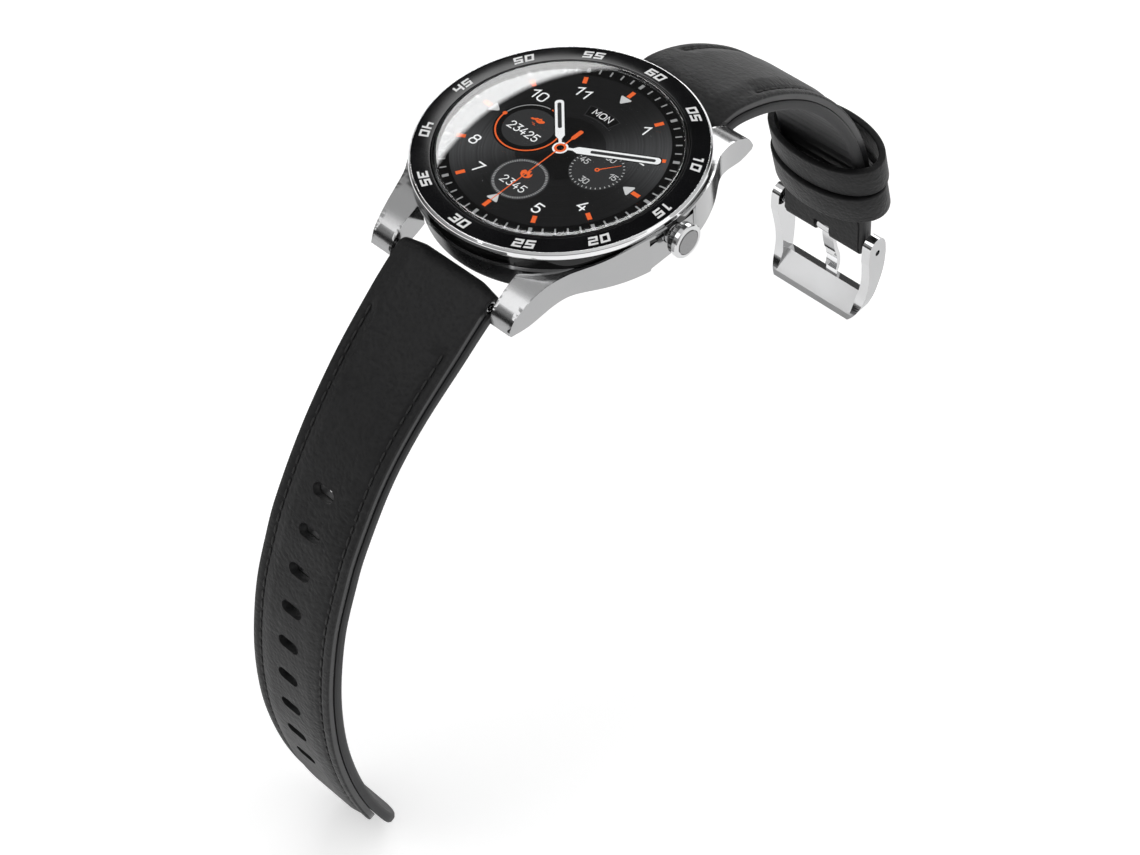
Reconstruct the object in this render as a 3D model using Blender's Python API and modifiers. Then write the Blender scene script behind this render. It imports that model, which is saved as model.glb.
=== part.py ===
"""Round smartwatch with a steel lugged case, push crown, two-layer strap and pin buckle.

All driving sizes are in millimetres; the model is built in metres.
+Z points out of the dial, +Y to 12 o'clock, +X to the crown, and the origin is the
centre of the flat sensor window that rests on the wrist.
"""
import math

import bmesh
import bpy
from mathutils import Matrix, Vector

MM = 0.001

# ---------------------------------------------------------------- overall sizes
DIAL_Z = 9.9          # height of the display face over the sensor window
BEZEL_R = 22.3        # outside radius of the polished bezel ring
CASE_R = BEZEL_R + 0.45   # outside radius of the case frame at 3 and 9 o'clock
HOUSING_R = BEZEL_R - 1.1  # outside radius of the black lower housing
GAP = 0.2             # general clearance between pieces that touch
SEG = 54              # segments of the large round pieces
FINE = 30             # segments of the middle-sized round pieces

# ---------------------------------------------------------------- bezel, glass, display
RING_TOP = 0.6        # heights here are measured from the display face
RING_FLOOR = -1.6
SKIRT_Z = -2.4
GLASS_R = BEZEL_R - 3.9
GLASS_T = 0.85
INSERT_IN, INSERT_OUT = BEZEL_R - 3.35, BEZEL_R - 0.55
DISPLAY_R = GLASS_R - 0.3
DISPLAY_T = 0.65

# ---------------------------------------------------------------- case and lugs
FLANGE_Z = SKIRT_Z - 0.1
FLANGE_T = 0.7
FLANGE_IN = DISPLAY_R + 0.1
CASE_FLOOR = -6.9
BAR_Y, BAR_Z = BEZEL_R + 1.9, -7.9      # spring-bar axis
REACH = BAR_Y - 24.2           # how far the lugs stand out beyond the drawn size
HALF_LUG = 9.75                # half width of the strap at the lugs
LUG_GAP = HALF_LUG + 0.6       # half the distance between a pair of lugs
LUG_TIP = BAR_Y + 1.7
LUG_OUT = LUG_GAP + 4.0        # outside of a lug at its tip
BAR_R = 0.75
TIP_R = 0.42

# ---------------------------------------------------------------- rear
HOUSING_FLOOR = -8.3
REAR_R = HOUSING_R - 1.8
REAR_Z = -9.1
PLATEAU_R = REAR_R - 6.2
PLATEAU_Z = -9.65
WINDOW_R = 6.2
SCREW_R = 0.95
SCREW_AT = REAR_R - 3.0

# ---------------------------------------------------------------- inside
CHASSIS_Z, CHASSIS_T, CHASSIS_R = -3.35, 0.7, HOUSING_R - 1.7
BOARD_Z, BOARD_T, BOARD_R = -4.2, 0.8, HOUSING_R - 2.1
BATTERY = (BOARD_R - 2.1, BOARD_R - 5.1, 2.4)
BATTERY_AT = (2.5, 2.0)
MOTOR_R, MOTOR_T, MOTOR_AT = 4.0, 2.6, (-8.5, -10.5)

# ---------------------------------------------------------------- crown
CROWN_Z = -2.9
CROWN_R = 2.7
CROWN_IN, CROWN_OUT = CASE_R + 0.4, CASE_R + 2.45
STEM_R = 0.6
TUBE_R = 1.6
POCKET_X, POCKET_HALF = BEZEL_R - 0.35, CROWN_R + 1.9

# ---------------------------------------------------------------- strap
HALF_TAIL = HALF_LUG - 0.8   # half width at the holes and at the buckle
LEATHER_T = 1.35
SILICONE_T = 1.65
SEAM = 0.12           # glue line between the two layers
END_R = 1.75          # radius of the strap end round its spring bar
HOLE_COUNT = 9
HOLE_PITCH = 7.0
HOLE_FIRST = 37.4     # distance of the first hole from the start of the path
HOLE_LONG, HOLE_WIDE = 4.4, 2.1

# outer face of each strap piece, seen from the crown side: (along Y, height)
LONG_LINE = [(24.6, -6.15), (28.2, -8.5), (31.7, -11.1), (40.3, -17.9), (48.2, -25.9),
             (55.3, -35.8), (58.7, -42.2), (61.6, -48.7), (63.7, -55.6), (65.2, -62.6),
             (66.0, -69.5), (66.2, -76.4), (65.7, -83.3), (64.7, -89.8), (63.1, -96.4),
             (60.8, -103.0), (57.6, -109.6)]
SHORT_LINE = [(24.4, -6.0), (28.0, -5.9), (32.5, -7.1), (37.2, -9.2), (42.0, -12.2),
              (46.9, -16.1), (51.8, -21.3), (55.9, -27.2), (58.8, -33.0), (60.7, -38.6),
              (61.9, -44.5), (62.4, -50.5), (62.5, -56.0), (62.45, -60.2)]

# ---------------------------------------------------------------- keepers and buckle
KEEPER_A, KEEPER_B = HALF_TAIL + 1.65, 5.0    # inside half width and half depth of the oval loops
KEEPER_T = 1.2
KEEPER_W = 6.3
KEEPER_AT = ((60.6, -41.9), (61.3, -48.5))   # centres of the two loops
KEEPER_TILT = math.radians(11.5)
PIN_Y, PIN_Z = 60.95 + REACH, -60.45
PIN_R = 0.7
ARM_IN, ARM_OUT = HALF_TAIL + 0.5, HALF_TAIL + 2.25
TONGUE_HALF = 1.35
SLOT_HALF = 1.75


LONG_LINE = [(y + REACH, z) for y, z in LONG_LINE]
SHORT_LINE = [(y + REACH, z) for y, z in SHORT_LINE]
KEEPER_AT = [(y + REACH, z) for y, z in KEEPER_AT]


def z_of(z):
    """Height over the wrist face of a height over the display face."""
    return z + DIAL_Z


# ================================================================ helpers
for old in list(bpy.data.objects):
    bpy.data.objects.remove(old, do_unlink=True)

scene = bpy.context.scene
PARTS = bpy.data.collections.new("object")
CUTS = bpy.data.collections.new("cutters")
scene.collection.children.link(PARTS)
scene.collection.children.link(CUTS)
MATERIALS = {}


def material(name, color, metallic=0.0, rough=0.5):
    if name not in MATERIALS:
        m = bpy.data.materials.new(name)
        m.use_nodes = True
        p = m.node_tree.nodes["Principled BSDF"]
        p.inputs["Base Color"].default_value = (*color, 1.0)
        p.inputs["Metallic"].default_value = metallic
        p.inputs["Roughness"].default_value = rough
        MATERIALS[name] = m
    return MATERIALS[name]


STEEL = ("polished_steel", (0.62, 0.62, 0.63), 1.0, 0.12)
GOLD = ("gold_plate", (0.85, 0.6, 0.25), 1.0, 0.25)
BLACK = ("black_plastic", (0.02, 0.02, 0.022), 0.0, 0.4)
GLASS = ("clear_glass", (0.75, 0.78, 0.8), 0.0, 0.05)
SCREEN = ("display_black", (0.01, 0.01, 0.012), 0.0, 0.2)
RUBBER = ("black_rubber", (0.02, 0.02, 0.02), 0.0, 0.8)
BOARD = ("board_green", (0.02, 0.12, 0.05), 0.0, 0.5)
TIN = ("tinned_steel", (0.55, 0.55, 0.53), 1.0, 0.35)
CELL = ("cell_foil", (0.35, 0.36, 0.38), 0.6, 0.4)
LEATHER = ("black_leather", (0.03, 0.03, 0.032), 0.0, 0.6)
SILICONE = ("black_silicone", (0.025, 0.025, 0.027), 0.0, 0.55)


def node(name, mesh, mat, cut=False):
    ob = bpy.data.objects.new(name, mesh)
    if cut:
        CUTS.objects.link(ob)
        ob.hide_render = True
        ob.display_type = "WIRE"
    else:
        PARTS.objects.link(ob)
        m = material(*mat)
        ob.data.materials.clear()
        ob.data.materials.append(m)
    return ob


def from_bmesh(name, bm, mat=None, cut=False):
    bmesh.ops.recalc_face_normals(bm, faces=bm.faces)
    me = bpy.data.meshes.new(name)
    bm.to_mesh(me)
    bm.free()
    return node(name, me, mat, cut)


def lathe(name, profile, mat=None, seg=SEG, cut=False, axis="Z", at=(0, 0, 0)):
    """Turned piece: profile is (radius, height) running from the top down the outside and
    back up the inside, closed when it does not reach the axis."""
    bm = bmesh.new()
    rings = []
    for r, h in profile:
        if r < 1e-6:
            rings.append([bm.verts.new((0, 0, h * MM))])
        else:
            rings.append([bm.verts.new((r * MM * math.cos(2 * math.pi * i / seg),
                                        r * MM * math.sin(2 * math.pi * i / seg), h * MM))
                          for i in range(seg)])
    closed = profile[0][0] > 1e-6 and profile[-1][0] > 1e-6
    pairs = list(zip(rings, rings[1:])) + ([(rings[-1], rings[0])] if closed else [])
    for a, b in pairs:
        for i in range(seg):
            j = (i + 1) % seg
            if len(a) == 1 and len(b) == 1:
                continue
            if len(a) == 1:
                bm.faces.new((a[0], b[j], b[i]))
            elif len(b) == 1:
                bm.faces.new((a[i], a[j], b[0]))
            else:
                bm.faces.new((a[i], a[j], b[j], b[i]))
    if axis == "X":
        bmesh.ops.transform(bm, matrix=Matrix.Rotation(math.pi / 2, 4, "Y"), verts=bm.verts)
    if axis == "-X":
        bmesh.ops.transform(bm, matrix=Matrix.Rotation(-math.pi / 2, 4, "Y"), verts=bm.verts)
    bmesh.ops.translate(bm, vec=Vector(at) * MM, verts=bm.verts)
    return from_bmesh(name, bm, mat, cut)


def disc(name, r, z0, z1, mat=None, seg=SEG, cut=False, axis="Z", at=(0, 0, 0), ease=0.0):
    if ease:
        prof = [(0, z1), (r - ease, z1), (r, z1 - ease), (r, z0 + ease), (r - ease, z0), (0, z0)]
    else:
        prof = [(0, z1), (r, z1), (r, z0), (0, z0)]
    return lathe(name, prof, mat, seg, cut, axis, at)


def box(name, lo, hi, mat=None, cut=False, ease=0.0):
    bm = bmesh.new()
    bmesh.ops.create_cube(bm, size=1.0)
    size = [(b - a) * MM for a, b in zip(lo, hi)]
    mid = [(a + b) / 2 * MM for a, b in zip(lo, hi)]
    bmesh.ops.scale(bm, vec=size, verts=bm.verts)
    bmesh.ops.translate(bm, vec=mid, verts=bm.verts)
    if ease:
        upright = [e for e in bm.edges
                   if abs(e.verts[0].co.z - e.verts[1].co.z) > size[2] * 0.5]
        bmesh.ops.bevel(bm, geom=upright, offset=ease * MM, segments=4, affect="EDGES",
                        profile=0.5)
    return from_bmesh(name, bm, mat, cut)


def prism(name, outline, lo, hi, mat=None, cut=False, plane="XY"):
    """Outline (mm) in the named plane, extruded between lo and hi on the third axis."""
    bm = bmesh.new()

    def spot(p, h):
        if plane == "XY":
            return (p[0] * MM, p[1] * MM, h * MM)
        return (h * MM, p[0] * MM, p[1] * MM)
    a = [bm.verts.new(spot(p, lo)) for p in outline]
    b = [bm.verts.new(spot(p, hi)) for p in outline]
    n = len(outline)
    bm.faces.new(a)
    bm.faces.new(b)
    for i in range(n):
        j = (i + 1) % n
        bm.faces.new((a[i], a[j], b[j], b[i]))
    return from_bmesh(name, bm, mat, cut)


def boolean(ob, cutter, how="DIFFERENCE"):
    m = ob.modifiers.new(cutter.name, "BOOLEAN")
    m.operation = how
    m.solver = "EXACT"
    m.object = cutter


def bevel(ob, width, segments=2, angle=40):
    m = ob.modifiers.new("edge", "BEVEL")
    m.width = width * MM
    m.segments = segments
    m.limit_method = "ANGLE"
    m.angle_limit = math.radians(angle)
    m.harden_normals = False


def stadium(half_long, r, n=8):
    pts = []
    for i in range(n + 1):
        a = -math.pi / 2 + math.pi * i / n
        pts.append((half_long - r + r * math.cos(a), r * math.sin(a)))
    for i in range(n + 1):
        a = math.pi / 2 + math.pi * i / n
        pts.append((-half_long + r + r * math.cos(a), r * math.sin(a)))
    return pts


# ================================================================ bezel, glass, display
bezel = lathe("bezel_ring", [
    (INSERT_OUT + GAP, z_of(RING_TOP)), (BEZEL_R, z_of(RING_TOP - 0.35)), (BEZEL_R, z_of(-0.6)),
    (BEZEL_R - 0.15, z_of(SKIRT_Z)), (BEZEL_R - 1.0, z_of(SKIRT_Z)),
    (BEZEL_R - 1.0, z_of(RING_FLOOR)), (DISPLAY_R - 0.8, z_of(RING_FLOOR)),
    (DISPLAY_R - 0.8, z_of(-0.95)), (DISPLAY_R + GAP, z_of(-0.95)), (DISPLAY_R + GAP, z_of(0.0)),
    (GLASS_R + GAP, z_of(0.05)), (GLASS_R + GAP, z_of(0.45)), (INSERT_IN - GAP / 2, z_of(0.45)),
    (INSERT_IN - GAP / 2, z_of(0.0)), (INSERT_OUT + GAP / 2, z_of(0.0)),
    (INSERT_OUT + GAP / 2, z_of(RING_TOP))], STEEL)
lathe("bezel_insert", [
    (INSERT_OUT, z_of(0.42)), (INSERT_OUT, z_of(0.15)), (INSERT_IN, z_of(0.15)),
    (INSERT_IN, z_of(0.55)), (INSERT_IN + 0.3, z_of(0.55))], BLACK)
disc("cover_glass", GLASS_R, z_of(0.15), z_of(0.15 + GLASS_T), GLASS, ease=0.25)
disc("display_panel", DISPLAY_R, z_of(-DISPLAY_T), z_of(0.0), SCREEN)
lathe("display_tape", [
    (DISPLAY_R, z_of(-DISPLAY_T - 0.1)), (DISPLAY_R, z_of(-DISPLAY_T - 0.2)),
    (DISPLAY_R - 0.65, z_of(-DISPLAY_T - 0.2)), (DISPLAY_R - 0.65, z_of(-DISPLAY_T - 0.1))],
    RUBBER, FINE)

# ================================================================ case frame
N_ARC = 18
START = math.radians(36)
plan = []
for i in range(N_ARC + 1):
    a = -START + 2 * START * i / N_ARC
    plan.append((CASE_R * math.cos(a), CASE_R * math.sin(a)))
flank = [(LUG_OUT + 2.4, BAR_Y - 8.3), (LUG_OUT + 1.4, BAR_Y - 5.6), (LUG_OUT + 0.75, BAR_Y - 2.8),
         (LUG_OUT + 0.25, BAR_Y), (LUG_OUT, LUG_TIP)]
plan += flank
plan += [(-x, y) for x, y in reversed(flank)]
plan += [(-x, y) for x, y in reversed(plan[:N_ARC + 1])]
plan += [(-x, -y) for x, y in flank]
plan += [(x, -y) for x, y in reversed(flank)]

TOP_EDGE = [(0.0, -0.45), (6.0, -0.6), (10.0, -1.3), (13.0, -2.1), (16.0, -2.9),
            (19.0, -3.6), (21.5, -4.6), (23.5, -5.8), (24.9, -7.0), (25.9, -8.9)]
BOTTOM_EDGE = [(25.5, -9.45), (24.0, -9.5), (22.4, -9.35), (20.4, -8.7),
               (18.2, -7.8), (16.0, -7.15), (13.5, CASE_FLOOR), (0.0, CASE_FLOOR)]
side = [(y * LUG_TIP / 25.9, z) for y, z in TOP_EDGE + BOTTOM_EDGE[:-1]]
side = side + [(-y, z) for y, z in reversed(side[1:])]
case_body = prism("case_frame", plan, z_of(-10.4), z_of(0.6), STEEL)
boolean(case_body, prism("side_profile", [(y, z_of(z)) for y, z in side], -30, 30, None, True,
                         "YZ"), "INTERSECT")
boolean(case_body, lathe("case_bore", [
    (0, z_of(2)), (BEZEL_R + 0.12, z_of(2)), (BEZEL_R + 0.12, z_of(FLANGE_Z)),
    (FLANGE_IN, z_of(FLANGE_Z)), (FLANGE_IN, z_of(FLANGE_Z - FLANGE_T)),
    (HOUSING_R + 0.12, z_of(FLANGE_Z - FLANGE_T)), (HOUSING_R + 0.12, z_of(-14)),
    (0, z_of(-14))], None, SEG, True))
for sign in (1, -1):
    y0, y1 = sorted((sign * (BAR_Y - 7.2), sign * (LUG_TIP + 4.1)))
    boolean(case_body, box("strap_gap_low", (-LUG_GAP, y0, z_of(-12)),
                           (LUG_GAP, y1, z_of(FLANGE_Z - FLANGE_T + 0.02)), None, True))
    y0, y1 = sorted((sign * (BAR_Y - 6.7), sign * (LUG_TIP + 4.1)))
    gap_top = box("strap_gap_top", (-LUG_GAP, y0, z_of(-12.2)), (LUG_GAP, y1, z_of(1.5)), None,
                  True)
    boolean(gap_top, disc("gap_round", BEZEL_R - 0.2, z_of(-13), z_of(3), None, SEG, True))
    boolean(case_body, gap_top)
    for end in (1, -1):
        x0, x1 = sorted((end * (LUG_GAP - 1), end * (LUG_GAP + 1.6)))
        boolean(case_body, disc("tip_hole", TIP_R + 0.12, x0, x1, None, 16, True, "X",
                                (0, sign * BAR_Y, z_of(BAR_Z))))
# neck under the bezel: it joins the two flanks and shows between the lugs
boolean(case_body, lathe("neck", [
    (BEZEL_R - 0.15, z_of(FLANGE_Z)), (BEZEL_R - 0.15, z_of(FLANGE_Z - FLANGE_T)),
    (FLANGE_IN + 0.01, z_of(FLANGE_Z - FLANGE_T)), (FLANGE_IN + 0.01, z_of(FLANGE_Z))], None,
    SEG, True), "UNION")
# recess at 3 o'clock that the crown sits in: a flat floor with sloping ends
pocket = [(POCKET_X, POCKET_HALF), (POCKET_X + 8, POCKET_HALF + 5.5),
          (POCKET_X + 8, -POCKET_HALF - 5.5),
          (POCKET_X, -POCKET_HALF)]
boolean(case_body, prism("crown_pocket", pocket, z_of(-9), z_of(-0.95), None, True))
boolean(case_body, disc("crown_room", CROWN_R + GAP, POCKET_X, 40, None, 32, True, "X",
                        (0, 0, z_of(CROWN_Z))))
bore = disc("tube_bore", TUBE_R + 0.12, CROWN_IN - 8.15, CROWN_OUT + 4.8, None, 32, True, "X",
            (0, 0, z_of(CROWN_Z)))
boolean(case_body, bore)
boolean(bezel, bore)
bevel(case_body, 0.16, 1, 32)

# ================================================================ lower housing and rear
housing = lathe("lower_housing", [
    (HOUSING_R - 0.3, z_of(FLANGE_Z - FLANGE_T - 0.1)), (HOUSING_R, z_of(-3.6)),
    (HOUSING_R, z_of(-7.5)), (HOUSING_R - 0.9, z_of(HOUSING_FLOOR)),
    (REAR_R + GAP, z_of(HOUSING_FLOOR)), (REAR_R + GAP, z_of(HOUSING_FLOOR + 0.75)),
    (SCREW_AT - 1.9, z_of(HOUSING_FLOOR + 0.75)), (SCREW_AT - 1.9, z_of(HOUSING_FLOOR + 1.35)),
    (BOARD_R + 0.7, z_of(HOUSING_FLOOR + 1.35)),
    (BOARD_R + 0.7, z_of(FLANGE_Z - FLANGE_T - 0.1))], BLACK)
boolean(housing, bore)
rear = lathe("rear_cover", [
    (0, z_of(HOUSING_FLOOR + 0.5)), (REAR_R - 2.2, z_of(HOUSING_FLOOR + 0.5)),
    (REAR_R - 2.2, z_of(HOUSING_FLOOR + 0.05)), (REAR_R - 1.2, z_of(HOUSING_FLOOR + 0.05)),
    (REAR_R - 1.2, z_of(HOUSING_FLOOR + 0.5)), (REAR_R, z_of(HOUSING_FLOOR + 0.5)),
    (REAR_R, z_of(REAR_Z + 0.35)), (REAR_R - 0.5, z_of(REAR_Z)), (PLATEAU_R + 0.6, z_of(REAR_Z)),
    (PLATEAU_R, z_of(PLATEAU_Z)), (WINDOW_R + GAP, z_of(PLATEAU_Z)),
    (WINDOW_R + GAP, z_of(PLATEAU_Z + 0.55)), (8.6, z_of(PLATEAU_Z + 0.55)),
    (8.6, z_of(HOUSING_FLOOR + 0.4)), (0, z_of(HOUSING_FLOOR + 0.4))][1:-1], BLACK)
lathe("rear_seal", [
    (REAR_R - 1.3, z_of(HOUSING_FLOOR + 0.62)), (REAR_R - 1.3, z_of(HOUSING_FLOOR + 0.2)),
    (REAR_R - 2.1, z_of(HOUSING_FLOOR + 0.2)), (REAR_R - 2.1, z_of(HOUSING_FLOOR + 0.62))],
    RUBBER)
for k in range(4):
    a = math.radians(45 + 90 * k)
    at = (SCREW_AT * math.cos(a), SCREW_AT * math.sin(a), 0)
    hole = lathe("screw_hole", [
        (0, z_of(HOUSING_FLOOR + 1.12)), (0.62, z_of(HOUSING_FLOOR + 1.12)),
        (0.62, z_of(REAR_Z + 0.5)), (SCREW_R + 0.12, z_of(REAR_Z + 0.5)),
        (SCREW_R + 0.12, z_of(REAR_Z - 2)), (0, z_of(REAR_Z - 2))], None, 24, True, "Z", at)
    boolean(rear, hole)
    boolean(housing, hole)
    screw = lathe("case_screw_%d" % (k + 1), [
        (0, z_of(HOUSING_FLOOR + 1.0)), (0.5, z_of(HOUSING_FLOOR + 1.0)),
        (0.5, z_of(REAR_Z + 0.4)), (SCREW_R, z_of(REAR_Z + 0.4)),
        (SCREW_R, z_of(REAR_Z + 0.1)), (0, z_of(REAR_Z + 0.1))], STEEL, 20, False, "Z", at)
    for turn in (0, 90):
        drive = box("screw_drive", (-0.55, -0.13, z_of(REAR_Z - 0.2)),
                    (0.55, 0.13, z_of(REAR_Z + 0.28)), None, True)
        drive.location = (at[0] * MM, at[1] * MM, 0)
        drive.rotation_euler = (0, 0, math.radians(turn + 20 * k))
        boolean(screw, drive)
disc("sensor_window", WINDOW_R, z_of(-DIAL_Z), z_of(PLATEAU_Z + 0.5), GLASS, FINE, ease=0.2)
sensor_board = disc("sensor_board", 8.3, z_of(PLATEAU_Z + 0.7), z_of(PLATEAU_Z + 1.3), BOARD, FINE)
for k, x in enumerate((-3.0, 3.0)):
    at = (x, -10.6, 0)
    hole = disc("contact_hole", 1.3, z_of(-11), z_of(-7), None, 24, True, "Z", at)
    boolean(rear, hole)
    lathe("charge_contact_%d" % (k + 1), [
        (0, z_of(HOUSING_FLOOR + 0.7)), (1.12, z_of(HOUSING_FLOOR + 0.7)),
        (1.12, z_of(PLATEAU_Z + 0.05)), (0.9, z_of(PLATEAU_Z - 0.08)),
        (0, z_of(PLATEAU_Z - 0.08))], GOLD, 24, False, "Z", at)

# ================================================================ inside
chassis = disc("inner_chassis", CHASSIS_R, z_of(CHASSIS_Z - CHASSIS_T), z_of(CHASSIS_Z), BLACK)
boolean(chassis, box("switch_notch", (CROWN_IN - 8.95, -3.4, z_of(-6)), (40, 3.4, z_of(0)), None,
                     True))
boolean(chassis, box("flex_slot", (-5, 15.2, z_of(-6)), (5, 16.4, z_of(0)), None, True))
board = disc("main_board", BOARD_R, z_of(BOARD_Z - BOARD_T), z_of(BOARD_Z), BOARD)
boolean(board, disc("motor_notch", MOTOR_R + 0.5, z_of(-7), z_of(-2), None, 48, True, "Z",
                    (*MOTOR_AT, 0)))
low = BOARD_Z - BOARD_T
box("shield_can_1", (-14.2, -3.4, z_of(low - 1.4)), (-8.4, 9.6, z_of(low - 0.15)), TIN, ease=0.8)
box("shield_can_2", (1.5, -14.3, z_of(low - 1.4)), (10.5, -5.9, z_of(low - 0.15)), TIN, ease=0.8)
box("crown_switch", (CROWN_IN - 8.15, -2.3, z_of(BOARD_Z + 0.15)),
    (CROWN_IN - 5.55, 2.3, z_of(-2.0)), BLACK, ease=0.3)
bw, bd, bt = BATTERY
box("battery", (BATTERY_AT[0] - bw / 2, BATTERY_AT[1] - bd / 2, z_of(low - 0.2 - bt)),
    (BATTERY_AT[0] + bw / 2, BATTERY_AT[1] + bd / 2, z_of(low - 0.2)), CELL, ease=2.0)
disc("vibration_motor", MOTOR_R, z_of(CHASSIS_Z - CHASSIS_T - 0.2 - MOTOR_T),
     z_of(CHASSIS_Z - CHASSIS_T - 0.2), TIN, 28, False, "Z", (*MOTOR_AT, 0), ease=0.3)
# flat flex that runs from the display through the chassis slot to the main board
FLEX_AT = DISPLAY_R - 2.5
flex = [(FLEX_AT, z_of(-0.9)), (FLEX_AT, z_of(BOARD_Z + 0.15)),
        (FLEX_AT + 0.3, z_of(BOARD_Z + 0.15)), (FLEX_AT + 0.3, z_of(-0.9))]
prism("display_flex", flex, -4.2, 4.2, BOARD, False, "YZ")

# ================================================================ crown
axis_at = (0, 0, z_of(CROWN_Z))
tube = lathe("crown_tube", [
    (TUBE_R, CROWN_IN - 0.65), (TUBE_R, CROWN_IN - 2.75), (STEM_R + 0.15, CROWN_IN - 2.75),
    (STEM_R + 0.15, CROWN_IN - 1.85), (1.25, CROWN_IN - 1.85), (1.25, CROWN_IN - 0.65)],
    STEEL, 32, False, "X", axis_at)
ring_pts = [(0.97 + 0.25 * math.cos(a), CROWN_IN - 1.4 - 0.25 * math.sin(a))
            for a in [2 * math.pi * i / 8 for i in range(8)]]
lathe("crown_seal", ring_pts, RUBBER, 16, False, "X", axis_at)
lathe("crown_stem", [
    (0, CROWN_IN + 1.05), (STEM_R, CROWN_IN + 1.05), (STEM_R, CROWN_IN - 3.7),
    (0.4, CROWN_IN - 3.7), (0.4, CROWN_IN - 4.05), (STEM_R, CROWN_IN - 4.05),
    (STEM_R, CROWN_IN - 4.85), (0, CROWN_IN - 4.85)], STEEL, 20, False, "X", axis_at)
lathe("crown_clip", [
    (1.15, CROWN_IN - 3.77), (1.15, CROWN_IN - 3.98), (0.52, CROWN_IN - 3.98),
    (0.52, CROWN_IN - 3.77)], STEEL, 24, False, "X", axis_at)
knob_prof = [(2.05, CROWN_OUT - 0.35), (2.05, CROWN_OUT), (CROWN_R - 0.35, CROWN_OUT),
             (CROWN_R, CROWN_OUT - 0.35), (CROWN_R, CROWN_OUT - 1.0),
             (CROWN_R - 0.2, CROWN_OUT - 1.1), (CROWN_R - 0.2, CROWN_IN + 0.25),
             (CROWN_R - 0.45, CROWN_IN), (STEM_R + 0.12, CROWN_IN),
             (STEM_R + 0.12, CROWN_IN + 1.2), (0, CROWN_IN + 1.2)]
knob = lathe("crown_knob", [(0, CROWN_OUT - 0.35)] + knob_prof, STEEL, 32, False, "X", axis_at)
for k in range(16):
    a = 2 * math.pi * k / 16
    groove = box("knurl", (CROWN_IN - 1, -0.13, CROWN_R - 0.36),
                 (CROWN_OUT - 1.15, 0.13, CROWN_R + 1), None, True)
    groove.location = (0, 0, z_of(CROWN_Z) * MM)
    groove.rotation_euler = (a, 0, 0)
    if k == 0:
        first = groove
    else:
        boolean(first, groove, "UNION")
boolean(knob, first)
disc("crown_cap", 1.9, CROWN_OUT - 0.23, CROWN_OUT + 0.06, TIN, 32, False, "X", axis_at,
     ease=0.1)

# ================================================================ spring bars
for name, sign in (("lower", -1), ("upper", 1)):
    at = (0, sign * BAR_Y, z_of(BAR_Z))
    bore_r, depth, half = TIP_R + 0.32, 4.0, LUG_GAP - 1.15
    # the tube has a bore in each end for the tips
    lathe("spring_bar_%s" % name, [
        (0, half - depth), (bore_r - 0.12, half - depth), (bore_r - 0.12, half),
        (BAR_R + 0.2, half), (BAR_R + 0.2, -half), (bore_r - 0.12, -half),
        (bore_r - 0.12, -half + depth), (0, -half + depth)], STEEL, 20, False, "X", at)
    for side_name, axis in (("right", "X"), ("left", "-X")):
        lathe("bar_tip_%s_%s" % (name, side_name), [
            (0, LUG_GAP + 1.0), (TIP_R - 0.1, LUG_GAP + 1.0), (TIP_R, LUG_GAP + 0.85),
            (TIP_R, LUG_GAP - 3.35), (0, LUG_GAP - 3.35)], STEEL, 16, False, axis, at)


# ================================================================ strap
def smooth_line(points, step=1.0):
    """Catmull-Rom line through the points, resampled at an even step; gives points,
    outward normals and distances along it."""
    pts = [Vector(p) for p in points]
    pts = [pts[0] * 2 - pts[1]] + pts + [pts[-1] * 2 - pts[-2]]
    fine = []
    for i in range(1, len(pts) - 2):
        p0, p1, p2, p3 = pts[i - 1:i + 3]
        for k in range(24):
            t = k / 24
            fine.append(0.5 * ((2 * p1) + (p2 - p0) * t + (2 * p0 - 5 * p1 + 4 * p2 - p3) * t * t
                               + (3 * p1 - p0 - 3 * p2 + p3) * t * t * t))
    fine.append(pts[-2])
    run = [0.0]
    for a, b in zip(fine, fine[1:]):
        run.append(run[-1] + (b - a).length)
    count = max(2, round(run[-1] / step))
    out = []
    j = 0
    for i in range(count + 1):
        s = run[-1] * i / count
        while j < len(run) - 2 and run[j + 1] < s:
            j += 1
        f = (s - run[j]) / (run[j + 1] - run[j])
        p = fine[j].lerp(fine[j + 1], f)
        d = (fine[j + 1] - fine[j]).normalized()
        out.append((p, Vector((-d.y, d.x)), s))
    return out


def loft(name, stations, mat):
    """Closed solid through rings of equal point count; each ring is a list of (x, y, z)."""
    bm = bmesh.new()
    rings = [[bm.verts.new(Vector(p) * MM) for p in ring] for ring in stations]
    n = len(rings[0])
    for a, b in zip(rings, rings[1:]):
        for i in range(n):
            j = (i + 1) % n
            bm.faces.new((a[i], a[j], b[j], b[i]))
    bm.faces.new(rings[0])
    bm.faces.new(rings[-1])
    return from_bmesh(name, bm, mat)


def half_width(s, tail_start=34.0):
    f = min(1.0, max(0.0, (s - 4.0) / (tail_start - 4.0)))
    f = f * f * (3 - 2 * f)
    return HALF_LUG + (HALF_TAIL - HALF_LUG) * f


def layer(line, sign, depth_out, depth_in, inset, rounding, s0, s1, tip=0.0):
    """Rings of one strap layer. depth_* are functions of the distance along the strap."""
    rings = []
    for p, n, s in line:
        if s < s0 - 1e-6 or s > s1 + 1e-6:
            continue
        w = half_width(s) - inset
        if tip:
            left = s1 - s
            if left < tip:
                f = 1 - left / tip
                w *= math.sqrt(max(0.0, 1 - (0.93 * f) ** 2.6))
        do, di = depth_out(s), depth_in(s)
        r = rounding
        cross = [(-w, do + r), (-w + r, do), (w - r, do), (w, do + r),
                 (w, di - r), (w - r, di), (-w + r, di), (-w, di - r)]
        ring = []
        for x, d in cross:
            q = p - n * d
            ring.append((x, sign * q.x, z_of(q.y)))
        rings.append(ring)
    return rings


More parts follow.
